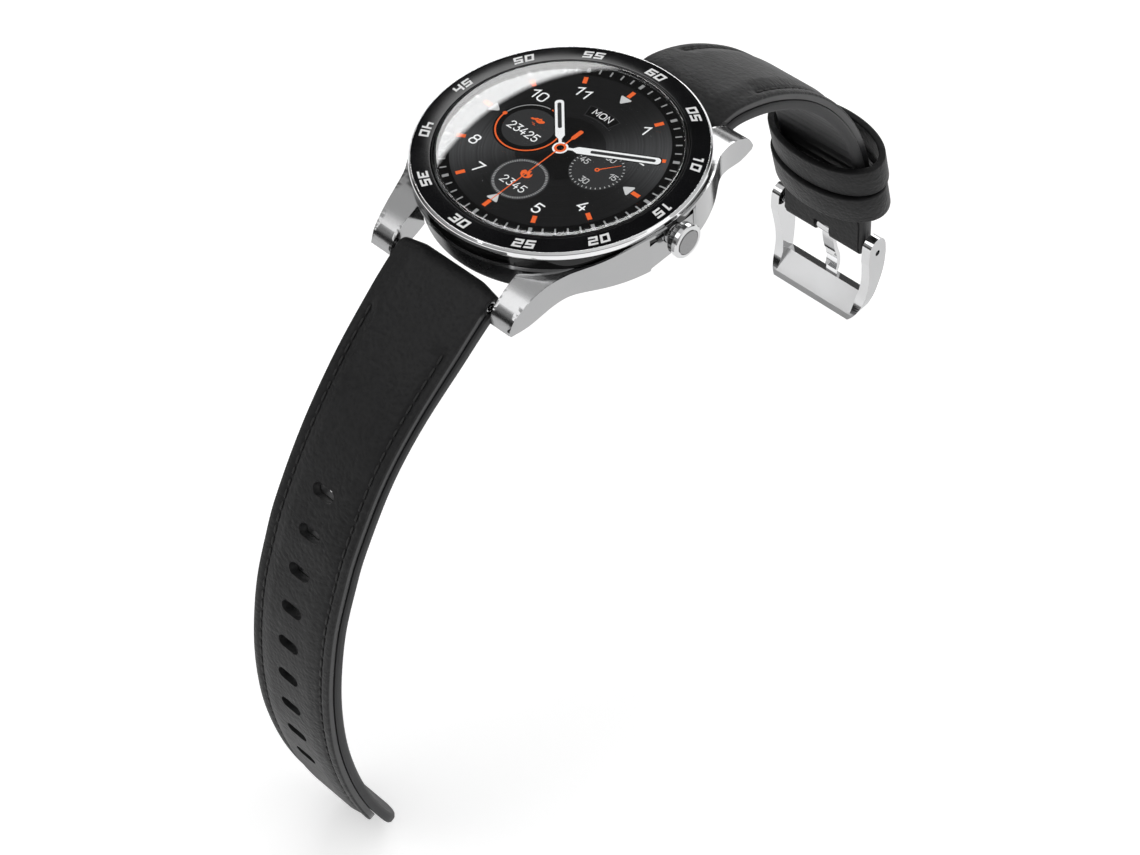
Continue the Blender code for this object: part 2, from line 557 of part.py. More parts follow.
long_line = smooth_line(LONG_LINE, 2.4)
short_line = smooth_line(SHORT_LINE, 2.3)
LONG_TOTAL, SHORT_TOTAL = long_line[-1][2], short_line[-1][2]


def swell(s):
    """Extra thickness close to the lugs, shared by both layers."""
    return max(0.0, 1 - s / 22.0)


def leather_back(s):
    return LEATHER_T + 0.15 * swell(s)


def silicone_back(s):
    return LEATHER_T + SEAM + SILICONE_T + 0.55 * swell(s)


loft("leather_long", layer(long_line, -1, lambda s: 0.0, leather_back, 0.35, 0.25, 0.0,
                           LONG_TOTAL - 7.0, 8.0), LEATHER)
long_base = loft("silicone_long", layer(
    long_line, -1, lambda s: leather_back(s) + SEAM, silicone_back, 0.0, 0.35, 0.0,
    LONG_TOTAL, 11.0), SILICONE)
loft("leather_short", layer(short_line, 1, lambda s: 0.0, leather_back, 0.35, 0.25, 0.0,
                            SHORT_TOTAL), LEATHER)
short_base = loft("silicone_short", layer(
    short_line, 1, lambda s: leather_back(s) + SEAM, silicone_back, 0.0, 0.35, 0.0,
    SHORT_TOTAL), SILICONE)
leather_long = bpy.data.objects["leather_long"]
leather_short = bpy.data.objects["leather_short"]

# the silicone base carries a round eye for the spring bar and, on the short piece, one for
# the buckle pin
for base, leather, sign in ((long_base, leather_long, -1), (short_base, leather_short, 1)):
    at = (0, sign * BAR_Y, z_of(BAR_Z))
    eye = disc("strap_eye", END_R, -HALF_LUG + 0.02, HALF_LUG - 0.02, None, 20, True, "X", at)
    shell = disc("eye_relief", END_R + 0.1, -20, 20, None, 20, True, "X", at)
    boolean(leather, shell)
    boolean(base, eye, "UNION")
    boolean(base, disc("eye_bore", BAR_R + 0.4, -20, 20, None, 24, True, "X", at))

pin_at = (0, PIN_Y, z_of(PIN_Z))
eye = disc("pin_eye", 1.5, -HALF_TAIL + 0.02, HALF_TAIL - 0.02, None, 20, True, "X", pin_at)
shell = disc("pin_relief", 1.6, -20, 20, None, 28, True, "X", pin_at)
boolean(leather_short, shell)
boolean(short_base, eye, "UNION")
boolean(short_base, disc("pin_bore", PIN_R + 0.25, -20, 20, None, 24, True, "X", pin_at))
slot = box("tongue_slot", (-SLOT_HALF, PIN_Y - 6, z_of(PIN_Z - 4)),
           (SLOT_HALF, PIN_Y + 6, z_of(PIN_Z + 4.2)), None, True)
boolean(leather_short, slot)
boolean(short_base, slot)

for k in range(HOLE_COUNT):
    s = HOLE_FIRST + HOLE_PITCH * k
    i = min(range(len(long_line)), key=lambda j: abs(long_line[j][2] - s))
    p, n, s_near = long_line[i]
    t = Vector((n.y, -n.x))
    c = p + t * (s - s_near)
    cut = prism("strap_hole", [(a, b) for a, b in stadium(HOLE_LONG / 2, HOLE_WIDE / 2, 4)],
                -6.0, 3.0, None, True)
    normal = Vector((0, -n.x, n.y))
    along = Vector((0, -t.x, t.y))
    m = Matrix((Vector((1, 0, 0)), along, Vector((1, 0, 0)).cross(along))).transposed()
    if m.col[2].dot(normal) < 0:
        m = Matrix((Vector((1, 0, 0)), -along, Vector((1, 0, 0)).cross(-along))).transposed()
    cut.matrix_world = Matrix.Translation(Vector((0, -c.x, z_of(c.y))) * MM) @ m.to_4x4()
    boolean(leather_long, cut)
    boolean(long_base, cut)

# ================================================================ keepers
for name, (ky, kz) in zip(("keeper_fixed", "keeper_free"), reversed(KEEPER_AT)):
    seg = 32
    rings = []
    bm = bmesh.new()
    for a_half, b_half, h in ((KEEPER_A, KEEPER_B, -1), (KEEPER_A + KEEPER_T, KEEPER_B + KEEPER_T,
                              -1), (KEEPER_A + KEEPER_T, KEEPER_B + KEEPER_T, 1),
                              (KEEPER_A, KEEPER_B, 1)):
        rings.append([bm.verts.new((a_half * MM * math.cos(2 * math.pi * i / seg),
                                    b_half * MM * math.sin(2 * math.pi * i / seg),
                                    h * KEEPER_W / 2 * MM)) for i in range(seg)])
    for a, b in zip(rings, rings[1:] + rings[:1]):
        for i in range(seg):
            j = (i + 1) % seg
            bm.faces.new((a[i], a[j], b[j], b[i]))
    keeper = from_bmesh(name, bm, LEATHER)
    keeper.data.transform(Matrix.Translation((0, ky * MM, z_of(kz) * MM))
                          @ Matrix.Rotation(KEEPER_TILT, 4, "X"))
    bevel(keeper, 0.25, 1, 40)

# ================================================================ buckle
pin_tube = lathe("buckle_pin", [
    (0, ARM_OUT - 0.15), (0.42, ARM_OUT - 0.15), (0.42, ARM_IN - 0.25), (PIN_R, ARM_IN - 0.25),
    (PIN_R, -ARM_IN + 0.25), (0.42, -ARM_IN + 0.25), (0.42, -ARM_OUT + 0.15),
    (0, -ARM_OUT + 0.15)], STEEL, 20, False, "X", pin_at)
ARM_BACK = [(58.75, -60.0), (59.0, -58.4), (60.1, -57.4), (61.5, -57.35), (62.7, -58.4),
            (63.15, -60.5), (63.1, -65.0), (62.3, -69.2), (61.1, -72.0), (59.3, -74.4),
            (57.1, -75.9)]
ARM_FRONT = [(56.4, -75.3), (57.9, -73.2), (59.0, -70.6), (59.35, -67.5), (59.0, -64.0),
             (58.65, -61.8)]
buckle = prism("buckle_frame", [(y + REACH, z_of(z)) for y, z in ARM_BACK + ARM_FRONT], -ARM_OUT,
               ARM_OUT, STEEL, False, "YZ")
# seen from the front the frame draws in towards its bottom bar
front = [(ARM_OUT, -50), (ARM_OUT, -61.5), (ARM_OUT - 0.3, -65.5), (ARM_OUT - 0.9, -70.0),
         (ARM_OUT - 1.3, -73.2), (ARM_OUT - 1.85, -75.2), (ARM_OUT - 3.0, -76.4)]
front += [(-x, z) for x, z in reversed(front)]


def front_prism(name, outline):
    bm = bmesh.new()
    a = [bm.verts.new((x * MM, 30 * MM, z_of(z) * MM)) for x, z in outline]
    b = [bm.verts.new((x * MM, 90 * MM, z_of(z) * MM)) for x, z in outline]
    bm.faces.new(a)
    bm.faces.new(b)
    for i in range(len(a)):
        j = (i + 1) % len(a)
        bm.faces.new((a[i], a[j], b[j], b[i]))
    return from_bmesh(name, bm, None, True)


boolean(buckle, front_prism("frame_outline", front), "INTERSECT")
# the opening: open upwards between the arms, closed below by the flat bar
opening = [(ARM_IN, -40), (ARM_IN, -62.5), (ARM_IN - 0.3, -66.0), (ARM_IN - 0.7, -69.6),
           (ARM_IN - 1.0, -71.3)]
opening += [(-x, z) for x, z in reversed(opening)]
boolean(buckle, front_prism("frame_opening", opening))
# thins the bar to a plate that leans inwards
thin = [(58.6, -71.0), (60.45, -71.35), (58.0, -73.6), (56.45, -75.0), (54.0, -76.0),
        (54.0, -68.0), (58.6, -68.0)]
boolean(buckle, prism("bar_inner", [(y + REACH, z_of(z)) for y, z in thin], 1.0 - ARM_IN,
                      ARM_IN - 1.0, None, True, "YZ"))
boolean(buckle, disc("pin_hole", 0.54, -20, 20, None, 20, True, "X", pin_at))
bevel(buckle, 0.22, 1, 35)

# tongue: an eye round the pin and a bent strip that rests behind the bar
eye_in, eye_out = PIN_R + 0.15, PIN_R + 0.75
tongue = disc("buckle_tongue", eye_out, -TONGUE_HALF, TONGUE_HALF, STEEL, 28, False, "X", pin_at)
strip = [(61.35, -60.6), (62.05, -60.9), (61.75, -63.2), (62.2, -66.0), (63.05, -69.0),
         (62.9, -71.6), (61.9, -73.1), (61.35, -72.7), (62.1, -71.3), (62.2, -69.2),
         (61.4, -66.3), (60.95, -63.4)]
boolean(tongue, prism("tongue_strip", [(y + REACH, z_of(z)) for y, z in strip], -TONGUE_HALF + 0.1,
                      TONGUE_HALF - 0.1, None, True, "YZ"), "UNION")
boolean(tongue, disc("tongue_bore", eye_in, -6, 6, None, 24, True, "X", pin_at))
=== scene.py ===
"""Look of a round smartwatch: steel case with lugs, running display, leather-on-silicone strap.

Sizes are in millimetres until they reach Blender.  Heights named "over the display" are
measured from the display face, as in the CAD part; z_of() turns them into frame heights.
"""
import math

import bmesh
import bpy
import numpy as np
from mathutils import Matrix, Vector, kdtree


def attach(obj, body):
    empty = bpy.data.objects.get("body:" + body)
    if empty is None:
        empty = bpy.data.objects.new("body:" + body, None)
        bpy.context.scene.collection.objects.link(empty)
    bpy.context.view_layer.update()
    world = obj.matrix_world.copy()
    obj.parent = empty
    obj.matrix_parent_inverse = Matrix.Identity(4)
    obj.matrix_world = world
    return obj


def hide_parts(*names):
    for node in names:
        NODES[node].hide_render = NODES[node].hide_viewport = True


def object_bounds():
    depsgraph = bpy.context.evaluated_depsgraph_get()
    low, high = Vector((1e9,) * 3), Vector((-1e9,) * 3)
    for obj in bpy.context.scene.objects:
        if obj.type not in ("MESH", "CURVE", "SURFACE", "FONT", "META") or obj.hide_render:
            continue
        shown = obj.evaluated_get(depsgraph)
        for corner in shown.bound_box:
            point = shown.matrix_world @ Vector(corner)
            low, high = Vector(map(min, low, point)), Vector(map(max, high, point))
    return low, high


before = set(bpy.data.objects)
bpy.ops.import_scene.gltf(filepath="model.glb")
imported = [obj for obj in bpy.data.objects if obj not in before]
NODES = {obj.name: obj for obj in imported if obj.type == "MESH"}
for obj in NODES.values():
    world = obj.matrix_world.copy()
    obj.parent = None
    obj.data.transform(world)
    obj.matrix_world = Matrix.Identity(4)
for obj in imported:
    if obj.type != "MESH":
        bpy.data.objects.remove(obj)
CAD_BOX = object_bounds()

MM = 0.001
DIAL_Z = 9.9


def z_of(z):
    return z + DIAL_Z


# ================================================================ camera, floor, light
scene = bpy.context.scene
scene.view_settings.view_transform = "Standard"
scene.view_settings.look = "None"

AZIMUTH, ELEVATION, ROLL = (math.radians(v) for v in (48.44, 48.77, -5.51))
CAMERA_AT = (0.2014, -0.1819, 0.2581)
SENSOR, FOCAL = 36.0, 79.36
right = Vector((math.cos(AZIMUTH), math.sin(AZIMUTH), 0))
up = Vector((-math.sin(ELEVATION) * math.sin(AZIMUTH), math.sin(ELEVATION) * math.cos(AZIMUTH),
             math.cos(ELEVATION)))
back = right.cross(up)
cam_x = right * math.cos(ROLL) + up * math.sin(ROLL)
cam_y = up * math.cos(ROLL) - right * math.sin(ROLL)
camera = bpy.data.objects.new("camera", bpy.data.cameras.new("camera"))
scene.collection.objects.link(camera)
camera.matrix_world = (Matrix.Translation(CAMERA_AT)
                       @ Matrix((cam_x, cam_y, back)).transposed().to_4x4())
camera.data.sensor_width, camera.data.lens = SENSOR, FOCAL
camera.data.clip_start = 0.01
camera.data.clip_end = 20.0
scene.camera = camera


# ================================================================ material helpers
class Net:
    """A material whose node tree is built with short calls."""

    def __init__(self, name, **sockets):
        self.mat = bpy.data.materials.new(name)
        self.mat.use_nodes = True
        self.tree = self.mat.node_tree
        self.bsdf = self.tree.nodes["Principled BSDF"]
        for key, value in sockets.items():
            self.bsdf.inputs[key.replace("_", " ")].default_value = value
        self.coord = self.tree.nodes.new("ShaderNodeTexCoord").outputs["Object"]

    def node(self, kind, inputs=(), **props):
        n = self.tree.nodes.new(kind)
        for key, value in props.items():
            setattr(n, key, value)
        for key, value in dict(inputs).items():
            if isinstance(value, bpy.types.NodeSocket):
                self.tree.links.new(value, n.inputs[key])
            else:
                n.inputs[key].default_value = value
        return n

    def scaled(self, xyz):
        return self.node("ShaderNodeMapping", {"Vector": self.coord, "Scale": xyz}).outputs[0]

    def noise(self, scale, detail=3.0, rough=0.55, vector=None, distortion=0.0):
        return self.node("ShaderNodeTexNoise", {
            "Vector": vector or self.coord, "Scale": scale, "Detail": detail,
            "Roughness": rough, "Distortion": distortion}).outputs["Fac"]

    def cells(self, scale, feature="F1", vector=None, randomness=1.0):
        return self.node("ShaderNodeTexVoronoi", {
            "Vector": vector or self.coord, "Scale": scale, "Randomness": randomness},
            feature=feature).outputs["Distance"]

    def span(self, value, low, high, out_low=0.0, out_high=1.0, smooth=False):
        return self.node("ShaderNodeMapRange", {
            "Value": value, "From Min": low, "From Max": high, "To Min": out_low,
            "To Max": out_high},
            interpolation_type="SMOOTHSTEP" if smooth else "LINEAR").outputs[0]

    def math(self, how, a, b=0.0, c=0.0):
        return self.node("ShaderNodeMath", {0: a, 1: b, 2: c}, operation=how).outputs[0]

    def ramp(self, value, stops):
        n = self.tree.nodes.new("ShaderNodeValToRGB")
        while len(n.color_ramp.elements) < len(stops):
            n.color_ramp.elements.new(0.5)
        for e, (at, colour) in zip(n.color_ramp.elements, stops):
            e.position = at
            e.color = (*colour, 1.0)
        self.tree.links.new(value, n.inputs[0])
        return n.outputs[0]

    def split(self):
        n = self.tree.nodes.new("ShaderNodeSeparateXYZ")
        self.tree.links.new(self.coord, n.inputs[0])
        return n.outputs

    def plug(self, socket, value):
        self.tree.links.new(value, self.bsdf.inputs[socket])

    def bump(self, height, distance, strength=1.0, after=None):
        ins = {"Height": height, "Distance": distance, "Strength": strength}
        if after is not None:
            ins["Normal"] = after
        return self.node("ShaderNodeBump", ins).outputs[0]


def steel(name, tint=0.80, low=0.035, high=0.10, brushed=None, bump=0.0000012):
    """Polished or satin steel: hairline wipes and smears in the gloss, faint colour drift."""
    m = Net(name, Metallic=1.0)
    smear = m.noise(180.0, 4.0, 0.6)
    fine = m.noise(2600.0, 2.0, 0.5, m.scaled(brushed or (1.0, 1.0, 1.0)))
    both = m.math("MULTIPLY_ADD", fine, 0.45, m.math("MULTIPLY", smear, 0.55))
    m.plug("Roughness", m.span(both, 0.3, 0.7, low, high))
    m.plug("Base Color", m.ramp(smear, [(0.3, (tint * 0.97, tint * 0.975, tint * 0.985)),
                                        (0.7, (tint, tint, tint * 1.005))]))
    m.plug("Normal", m.bump(fine, bump))
    return m.mat


def leather(name, dark, light, grain=1.0):
    """Fine calf leather: pebbled cells, pores, soft creases, rubbed high spots."""
    m = Net(name, Specular_IOR_Level=0.24, Sheen_Weight=0.04, Sheen_Roughness=0.4)
    warp = m.noise(240.0, 3.0)
    shifted = m.node("ShaderNodeVectorMath", {
        0: m.coord, 1: m.node("ShaderNodeVectorMath", {
            0: m.node("ShaderNodeTexNoise", {"Vector": m.coord, "Scale": 300.0,
                                             "Detail": 2.0}).outputs["Color"],
            1: (0.0012, 0.0012, 0.0012)}, operation="MULTIPLY").outputs[0]},
        operation="ADD").outputs[0]
    pebble = m.cells(1500.0, "SMOOTH_F1", shifted)
    crease = m.cells(330.0, "DISTANCE_TO_EDGE", shifted)
    pore = m.noise(5200.0, 2.0, 0.6)
    wrinkle = m.noise(420.0, 5.0, 0.62, m.scaled((0.55, 1.0, 1.0)), 0.9)
    patch = m.noise(55.0, 4.0, 0.6)
    tone = m.math("MULTIPLY_ADD", pebble, 0.35, m.math("MULTIPLY_ADD", patch, 0.6,
                                                     m.math("MULTIPLY", wrinkle, 0.35)))
    m.plug("Base Color", m.ramp(tone, [(0.32, dark), (0.85, light)]))
    m.plug("Roughness", m.span(m.math("MULTIPLY_ADD", wrinkle, 0.6, patch), 0.5, 1.1,
                               0.44, 0.62))
    n1 = m.bump(wrinkle, 0.00018 * grain, 0.8)
    n2 = m.bump(m.span(crease, 0.0, 0.12, 0.0, 1.0, True), 0.00002 * grain, 0.5, n1)
    n3 = m.bump(pebble, 0.00011 * grain, 0.7, n2)
    m.plug("Normal", m.bump(m.math("ADD", pore, m.math("MULTIPLY", warp, 0.3)),
                            0.000012 * grain, 0.6, n3))
    return m.mat


def silicone(name, dark, light):
    """Moulded silicone: matt, with a very fine spark-eroded texture and dust-like paleness."""
    m = Net(name, Specular_IOR_Level=0.4)
    mould = m.noise(6500.0, 2.0, 0.7)
    cloud = m.noise(70.0, 4.0, 0.6)
    m.plug("Base Color", m.ramp(m.math("MULTIPLY_ADD", mould, 0.3, m.math("MULTIPLY", cloud, 0.7)),
                                [(0.3, dark), (0.72, light)]))
    m.plug("Roughness", m.span(cloud, 0.3, 0.7, 0.5, 0.62))
    m.plug("Normal", m.bump(mould, 0.00002, 0.5, m.bump(cloud, 0.00025, 0.25)))
    return m.mat


def moulded(name, dark, light, low, high, scale=2500.0, metallic=0.0, depth=0.00001):
    """Moulded plastic, rubber, foil or laminate with an even fine texture."""
    m = Net(name, Metallic=metallic)
    grain = m.noise(scale, 3.0, 0.6)
    cloud = m.noise(120.0, 4.0, 0.55)
    m.plug("Base Color", m.ramp(m.math("MULTIPLY_ADD", grain, 0.4, m.math("MULTIPLY", cloud, 0.6)),
                                [(0.3, dark), (0.7, light)]))
    m.plug("Roughness", m.span(cloud, 0.3, 0.7, low, high))
    m.plug("Normal", m.bump(grain, depth, 0.6))
    return m.mat


def lit(name, colour, strength=1.0, dip=0.06):
    """Light from the display, a little uneven as from its sub-pixels."""
    m = Net(name, Base_Color=(*[0.05 * c for c in colour], 1.0), Roughness=0.6,
            Specular_IOR_Level=0.0, Emission_Strength=strength)
    dots = m.cells(9000.0, "F1", None, 0.0)
    soft = m.noise(350.0, 2.0)
    both = m.math("MULTIPLY_ADD", dots, 0.5, m.math("MULTIPLY", soft, 0.5))
    m.plug("Emission Color", m.ramp(both, [(0.2, tuple(c * (1 - dip) for c in colour)),
                                           (0.6, colour)]))
    return m.mat


STEEL = steel("polished_steel_look", 0.64)
CASE_STEEL = steel("case_steel_look", 0.40, 0.13, 0.19)
BEZEL = steel("bezel_steel_look", 0.80, 0.02, 0.06)
SATIN = steel("satin_steel_look", 0.52, 0.26, 0.36, (0.4, 1.0, 9.0), 0.000004)
PLATE = steel("plate_steel_look", 0.72, 0.30, 0.40, (9.0, 1.0, 1.0), 0.000003)
KNURL = steel("dark_steel_look", 0.30, 0.16, 0.30)
# painted shade: near-black steel for the recessed walls of the bezel ring, where shade falls
GROOVE_SHADE = steel("groove_painted_shade_look", 0.035, 0.04, 0.10)
# painted shade: the crown cap's satin steel gets a low tint that stands in for the dark reflection
# in its centre
CAP_SHADE_STEEL = steel("crown_dish_painted_shade_look", 0.26, 0.22, 0.32, (1.0, 9.0, 1.0), 0.000003)
TIN = steel("tinned_steel_look", 0.66, 0.25, 0.4)
GOLD = moulded("gold_look", (0.78, 0.52, 0.2), (0.92, 0.66, 0.3), 0.14, 0.26, 3000.0, 1.0)
LEATHER = leather("black_leather_look", (0.005, 0.005, 0.0055), (0.018, 0.018, 0.0185))
EDGE_PAINT = moulded("edge_paint_look", (0.004, 0.004, 0.005), (0.012, 0.012, 0.013), 0.25, 0.4,
                     1800.0)
# painted shade: the keepers take a copy of the strap leather at about half its brightness, so they
# look shaded
KEEPER_SHADED_LEATHER = leather("keeper_shaded_leather_look", (0.0025, 0.0025, 0.003), (0.009, 0.009, 0.0095))
# painted shade: a darker copy of the strap leather for the folded tab at the buckle, so it looks
# shaded
TAB_SHADED = leather("tab_shaded_leather_look", (0.004, 0.004, 0.0045), (0.012, 0.012, 0.0125), 0.7)
THREAD = moulded("thread_look", (0.004, 0.004, 0.004), (0.02, 0.02, 0.02), 0.5, 0.75, 7000.0,
                 0.0, 0.00004)
SILICONE = silicone("black_silicone_look", (0.011, 0.011, 0.012), (0.022, 0.022, 0.023))
HOUSING = moulded("housing_look", (0.006, 0.006, 0.007), (0.014, 0.014, 0.015), 0.18, 0.3, 3800.0)
BACK = moulded("rear_look", (0.010, 0.010, 0.011), (0.022, 0.022, 0.024), 0.3, 0.42, 3200.0)
RUBBER = moulded("rubber_look", (0.012, 0.012, 0.012), (0.03, 0.03, 0.03), 0.7, 0.85, 1500.0)
BOARD = moulded("board_look", (0.01, 0.07, 0.03), (0.02, 0.14, 0.06), 0.35, 0.5, 900.0)
CELL = moulded("cell_look", (0.22, 0.23, 0.25), (0.4, 0.41, 0.44), 0.3, 0.45, 500.0, 0.7)
WHITE_INK = moulded("white_ink_look", (0.80, 0.80, 0.80), (0.92, 0.92, 0.92), 0.25, 0.35, 5000.0)
CERAMIC = moulded("ceramic_look", (0.003, 0.003, 0.0035), (0.009, 0.009, 0.010), 0.06, 0.11,
                  5200.0, 0.0, 0.0000015)
CERAMIC.node_tree.nodes["Principled BSDF"].inputs["Specular IOR Level"].default_value = 0.16

glass = Net("glass_look", Transmission_Weight=1.0, IOR=1.06, Base_Color=(0.97, 0.985, 0.99, 1.0),
            Coat_Weight=1.0, Coat_IOR=1.5, Coat_Roughness=0.0)
glass.plug("Roughness", glass.span(glass.noise(160.0, 4.0), 0.35, 0.75, 0.0, 0.012))
GLASS = glass.mat
lens = Net("lens_look", Transmission_Weight=0.85, IOR=1.5, Base_Color=(0.10, 0.09, 0.12, 1.0))
lens.plug("Roughness", lens.span(lens.noise(300.0, 4.0), 0.35, 0.75, 0.02, 0.06))
LENS = lens.mat

ORANGE = lit("display_orange", (0.90, 0.145, 0.035), 1.0)
WHITE = lit("display_white", (0.96, 0.96, 0.96), 1.0)
PALE = lit("display_pale", (0.62, 0.62, 0.62), 1.0)
GREY = lit("display_grey", (0.33, 0.33, 0.33), 1.0)
DIM = lit("display_dim", (0.035, 0.035, 0.036), 1.0)
INK = lit("display_ink", (0.0035, 0.0035, 0.0035), 1.0)


def dial_material():
    """The drawn dial: circular brushing with a two-lobed sheen, dark middle, black chapter ring."""
    m = Net("dial_look", Base_Color=(0.002, 0.002, 0.002, 1.0), Roughness=0.6,
            Specular_IOR_Level=0.0, Emission_Strength=1.0)
    x, y, _ = m.split()
    r = m.math("SQRT", m.math("ADD", m.math("MULTIPLY", x, x), m.math("MULTIPLY", y, y)))
    angle = m.math("ARCTAN2", y, x)
    lobe = m.math("ADD", m.math("MULTIPLY", m.math("COSINE", m.math("MULTIPLY_ADD", angle, 2.0,
                                                                    -1.13)), 0.5), 0.5)
    lobe = m.math("POWER", lobe, 5.0)
    rings = m.noise(2400.0, 3.0, 0.7, m.node("ShaderNodeCombineXYZ", {0: r}).outputs[0])
    sheen = m.math("MULTIPLY", lobe, m.span(r, 0.0, 0.0165, 0.25, 1.0))
    value = m.math("MULTIPLY_ADD", sheen, 0.058, 0.0085)
    value = m.math("MULTIPLY", value, m.span(rings, 0.25, 0.75, 0.62, 1.38))
    middle = m.span(r, 0.00664, 0.00672, 0.42, 1.0)
    edge = m.span(r, 0.01622, 0.01630, 1.0, 0.0)
    m.plug("Emission Color", m.node("ShaderNodeCombineColor", {
        0: (v := m.math("MULTIPLY", m.math("MULTIPLY", value, middle), edge)), 1: v,
        2: m.math("MULTIPLY", v, 1.03)}).outputs[0])
    return m.mat


DIAL = dial_material()


# ================================================================ mesh helpers
def finish_mesh(name, bm, mat, sharp=32, mats=None):
    bmesh.ops.remove_doubles(bm, verts=bm.verts, dist=1e-8)
    bmesh.ops.recalc_face_normals(bm, faces=bm.faces)
    me = bpy.data.meshes.new(name)
    bm.to_mesh(me)
    bm.free()
    ob = bpy.data.objects.new(name, me)
    scene.collection.objects.link(ob)
    for one in (mats or [mat]):
        me.materials.append(one)
    smooth(ob, sharp)
    return ob


def smooth(ob, sharp=32):
    me = ob.data
    me.polygons.foreach_set("use_smooth", [True] * len(me.polygons))
    me.set_sharp_from_angle(angle=math.radians(sharp))
    me.update()


def bake_modifiers(ob, sharp=32):
    """Applies every modifier and removes the cutters that they used.  With sharp None the
    normals that the modifiers made are kept."""
    used = [m.object for m in ob.modifiers if m.type == "BOOLEAN"]
    graph = bpy.context.evaluated_depsgraph_get()
    me = bpy.data.meshes.new_from_object(ob.evaluated_get(graph), depsgraph=graph)
    ob.modifiers.clear()
    ob.data = me
    if sharp is not None:
        smooth(ob, sharp)
    for cutter in used:
        if cutter.name in bpy.data.objects:
            bpy.data.objects.remove(cutter, do_unlink=True)
    return ob


def boolean(ob, cutter, how="DIFFERENCE"):
    cutter.hide_render = True
    m = ob.modifiers.new("cut", "BOOLEAN")
    m.operation, m.solver, m.object = how, "EXACT", cutter


def bevel(ob, width, segments=3, angle=32):
    m = ob.modifiers.new("edge", "BEVEL")
    m.width, m.segments, m.limit_method = width * MM, segments, "ANGLE"
    m.angle_limit = math.radians(angle)
    m.miter_outer = "MITER_ARC"


def rounded_edges(ob, width, segments=3, angle=32):
    """Rounds the edges in mesh, then lets the large faces lead the normals."""
    bake_modifiers(ob)
    bevel(ob, width, segments, angle)
    bake_modifiers(ob, 80)
    m = ob.modifiers.new("normals", "WEIGHTED_NORMAL")
    m.keep_sharp = False
    m.weight = 50
    bake_modifiers(ob, None)


def even_normals(ob, pitch=1.0, reach=1.0, limit=16.0):
    """Cuts the surface into small cells and turns every corner to the mean normal around it, so
    that long thin faces leave no streaks.  The rounded edges (material slot 1) blend between
    the faces they join."""
    me = ob.data
    bm = bmesh.new()
    bm.from_mesh(me)
    for axis in range(3):
        line = [v.co[axis] for v in bm.verts]
        low, high = min(line), max(line)
        count = int((high - low) / (pitch * MM))
        for k in range(1, count + 1):
            at, across = Vector(), Vector()
            at[axis], across[axis] = low + (high - low) * k / (count + 1), 1.0
            bmesh.ops.bisect_plane(bm, geom=bm.verts[:] + bm.edges[:] + bm.faces[:],
                                   plane_co=at, plane_no=across, dist=1e-7)
    bm.to_mesh(me)
    bm.free()
    polys = me.polygons
    normal = np.array([p.normal for p in polys])
    area_of = np.array([p.area for p in polys])
    edge = np.array([p.material_index == 1 for p in polys])
    tree = kdtree.KDTree(len(polys))
    for p in polys:
        tree.insert(p.center, p.index)
    tree.balance()
    near = [np.array([i for _, i, _ in tree.find_range(v.co, reach * MM)], dtype=int)
            for v in me.vertices]
    found = [[] for _ in me.vertices]
    edges_at = [[] for _ in me.vertices]
    turned = np.zeros((len(me.loops), 3))
    least = math.cos(math.radians(limit))
    for p in polys:
        for li, v in zip(p.loop_indices, p.vertices):
            if edge[p.index]:
                edges_at[v].append(normal[p.index])
                continue
            ids = near[v][~edge[near[v]]]
            ids = ids[normal[ids] @ normal[p.index] > least]
            mean = (normal[ids] * area_of[ids, None]).sum(axis=0)
            size = np.linalg.norm(mean)
            turned[li] = mean / size if size > 0 else normal[p.index]
            found[v].append(turned[li])
    for p in polys:
        if edge[p.index]:
            for li, v in zip(p.loop_indices, p.vertices):
                same = [n for n in found[v] or edges_at[v] if n @ normal[p.index] > 0.4]
                mean = np.sum(same, axis=0) if same else normal[p.index]
                turned[li] = mean / np.linalg.norm(mean)
    polys.foreach_set("material_index", [0] * len(polys))
    me.materials.pop()
    me.normals_split_custom_set([tuple(n) for n in turned])
    me.update()


def soften(points, radius, n=5, closed=True):
    """Rounds the corners of a polyline with arcs of about the given radius."""
    out = []
    count = len(points)
    for i, p in enumerate(points):
        if not closed and i in (0, count - 1):
            out.append(tuple(p))
            continue
        p = Vector(p)
        a, b = Vector(points[i - 1]), Vector(points[(i + 1) % count])
        da, db = (a - p), (b - p)
        if da.length < 1e-9 or db.length < 1e-9 or p.x < 1e-9:
            out.append(tuple(p))
            continue
        reach = min(radius, 0.45 * da.length, 0.45 * db.length)
        if abs(da.angle(db) - math.pi) < 0.15:
            out.append(tuple(p))
            continue
        pa, pb = p + da.normalized() * reach, p + db.normalized() * reach
        out.append(tuple(p + da.normalized() * min(reach + 0.03, 0.49 * da.length)))
        for k in range(n + 1):
            t = k / n
            out.append(tuple(pa * (1 - t) ** 2 + p * 2 * t * (1 - t) + pb * t * t))
        out.append(tuple(p + db.normalized() * min(reach + 0.03, 0.49 * db.length)))
    return out


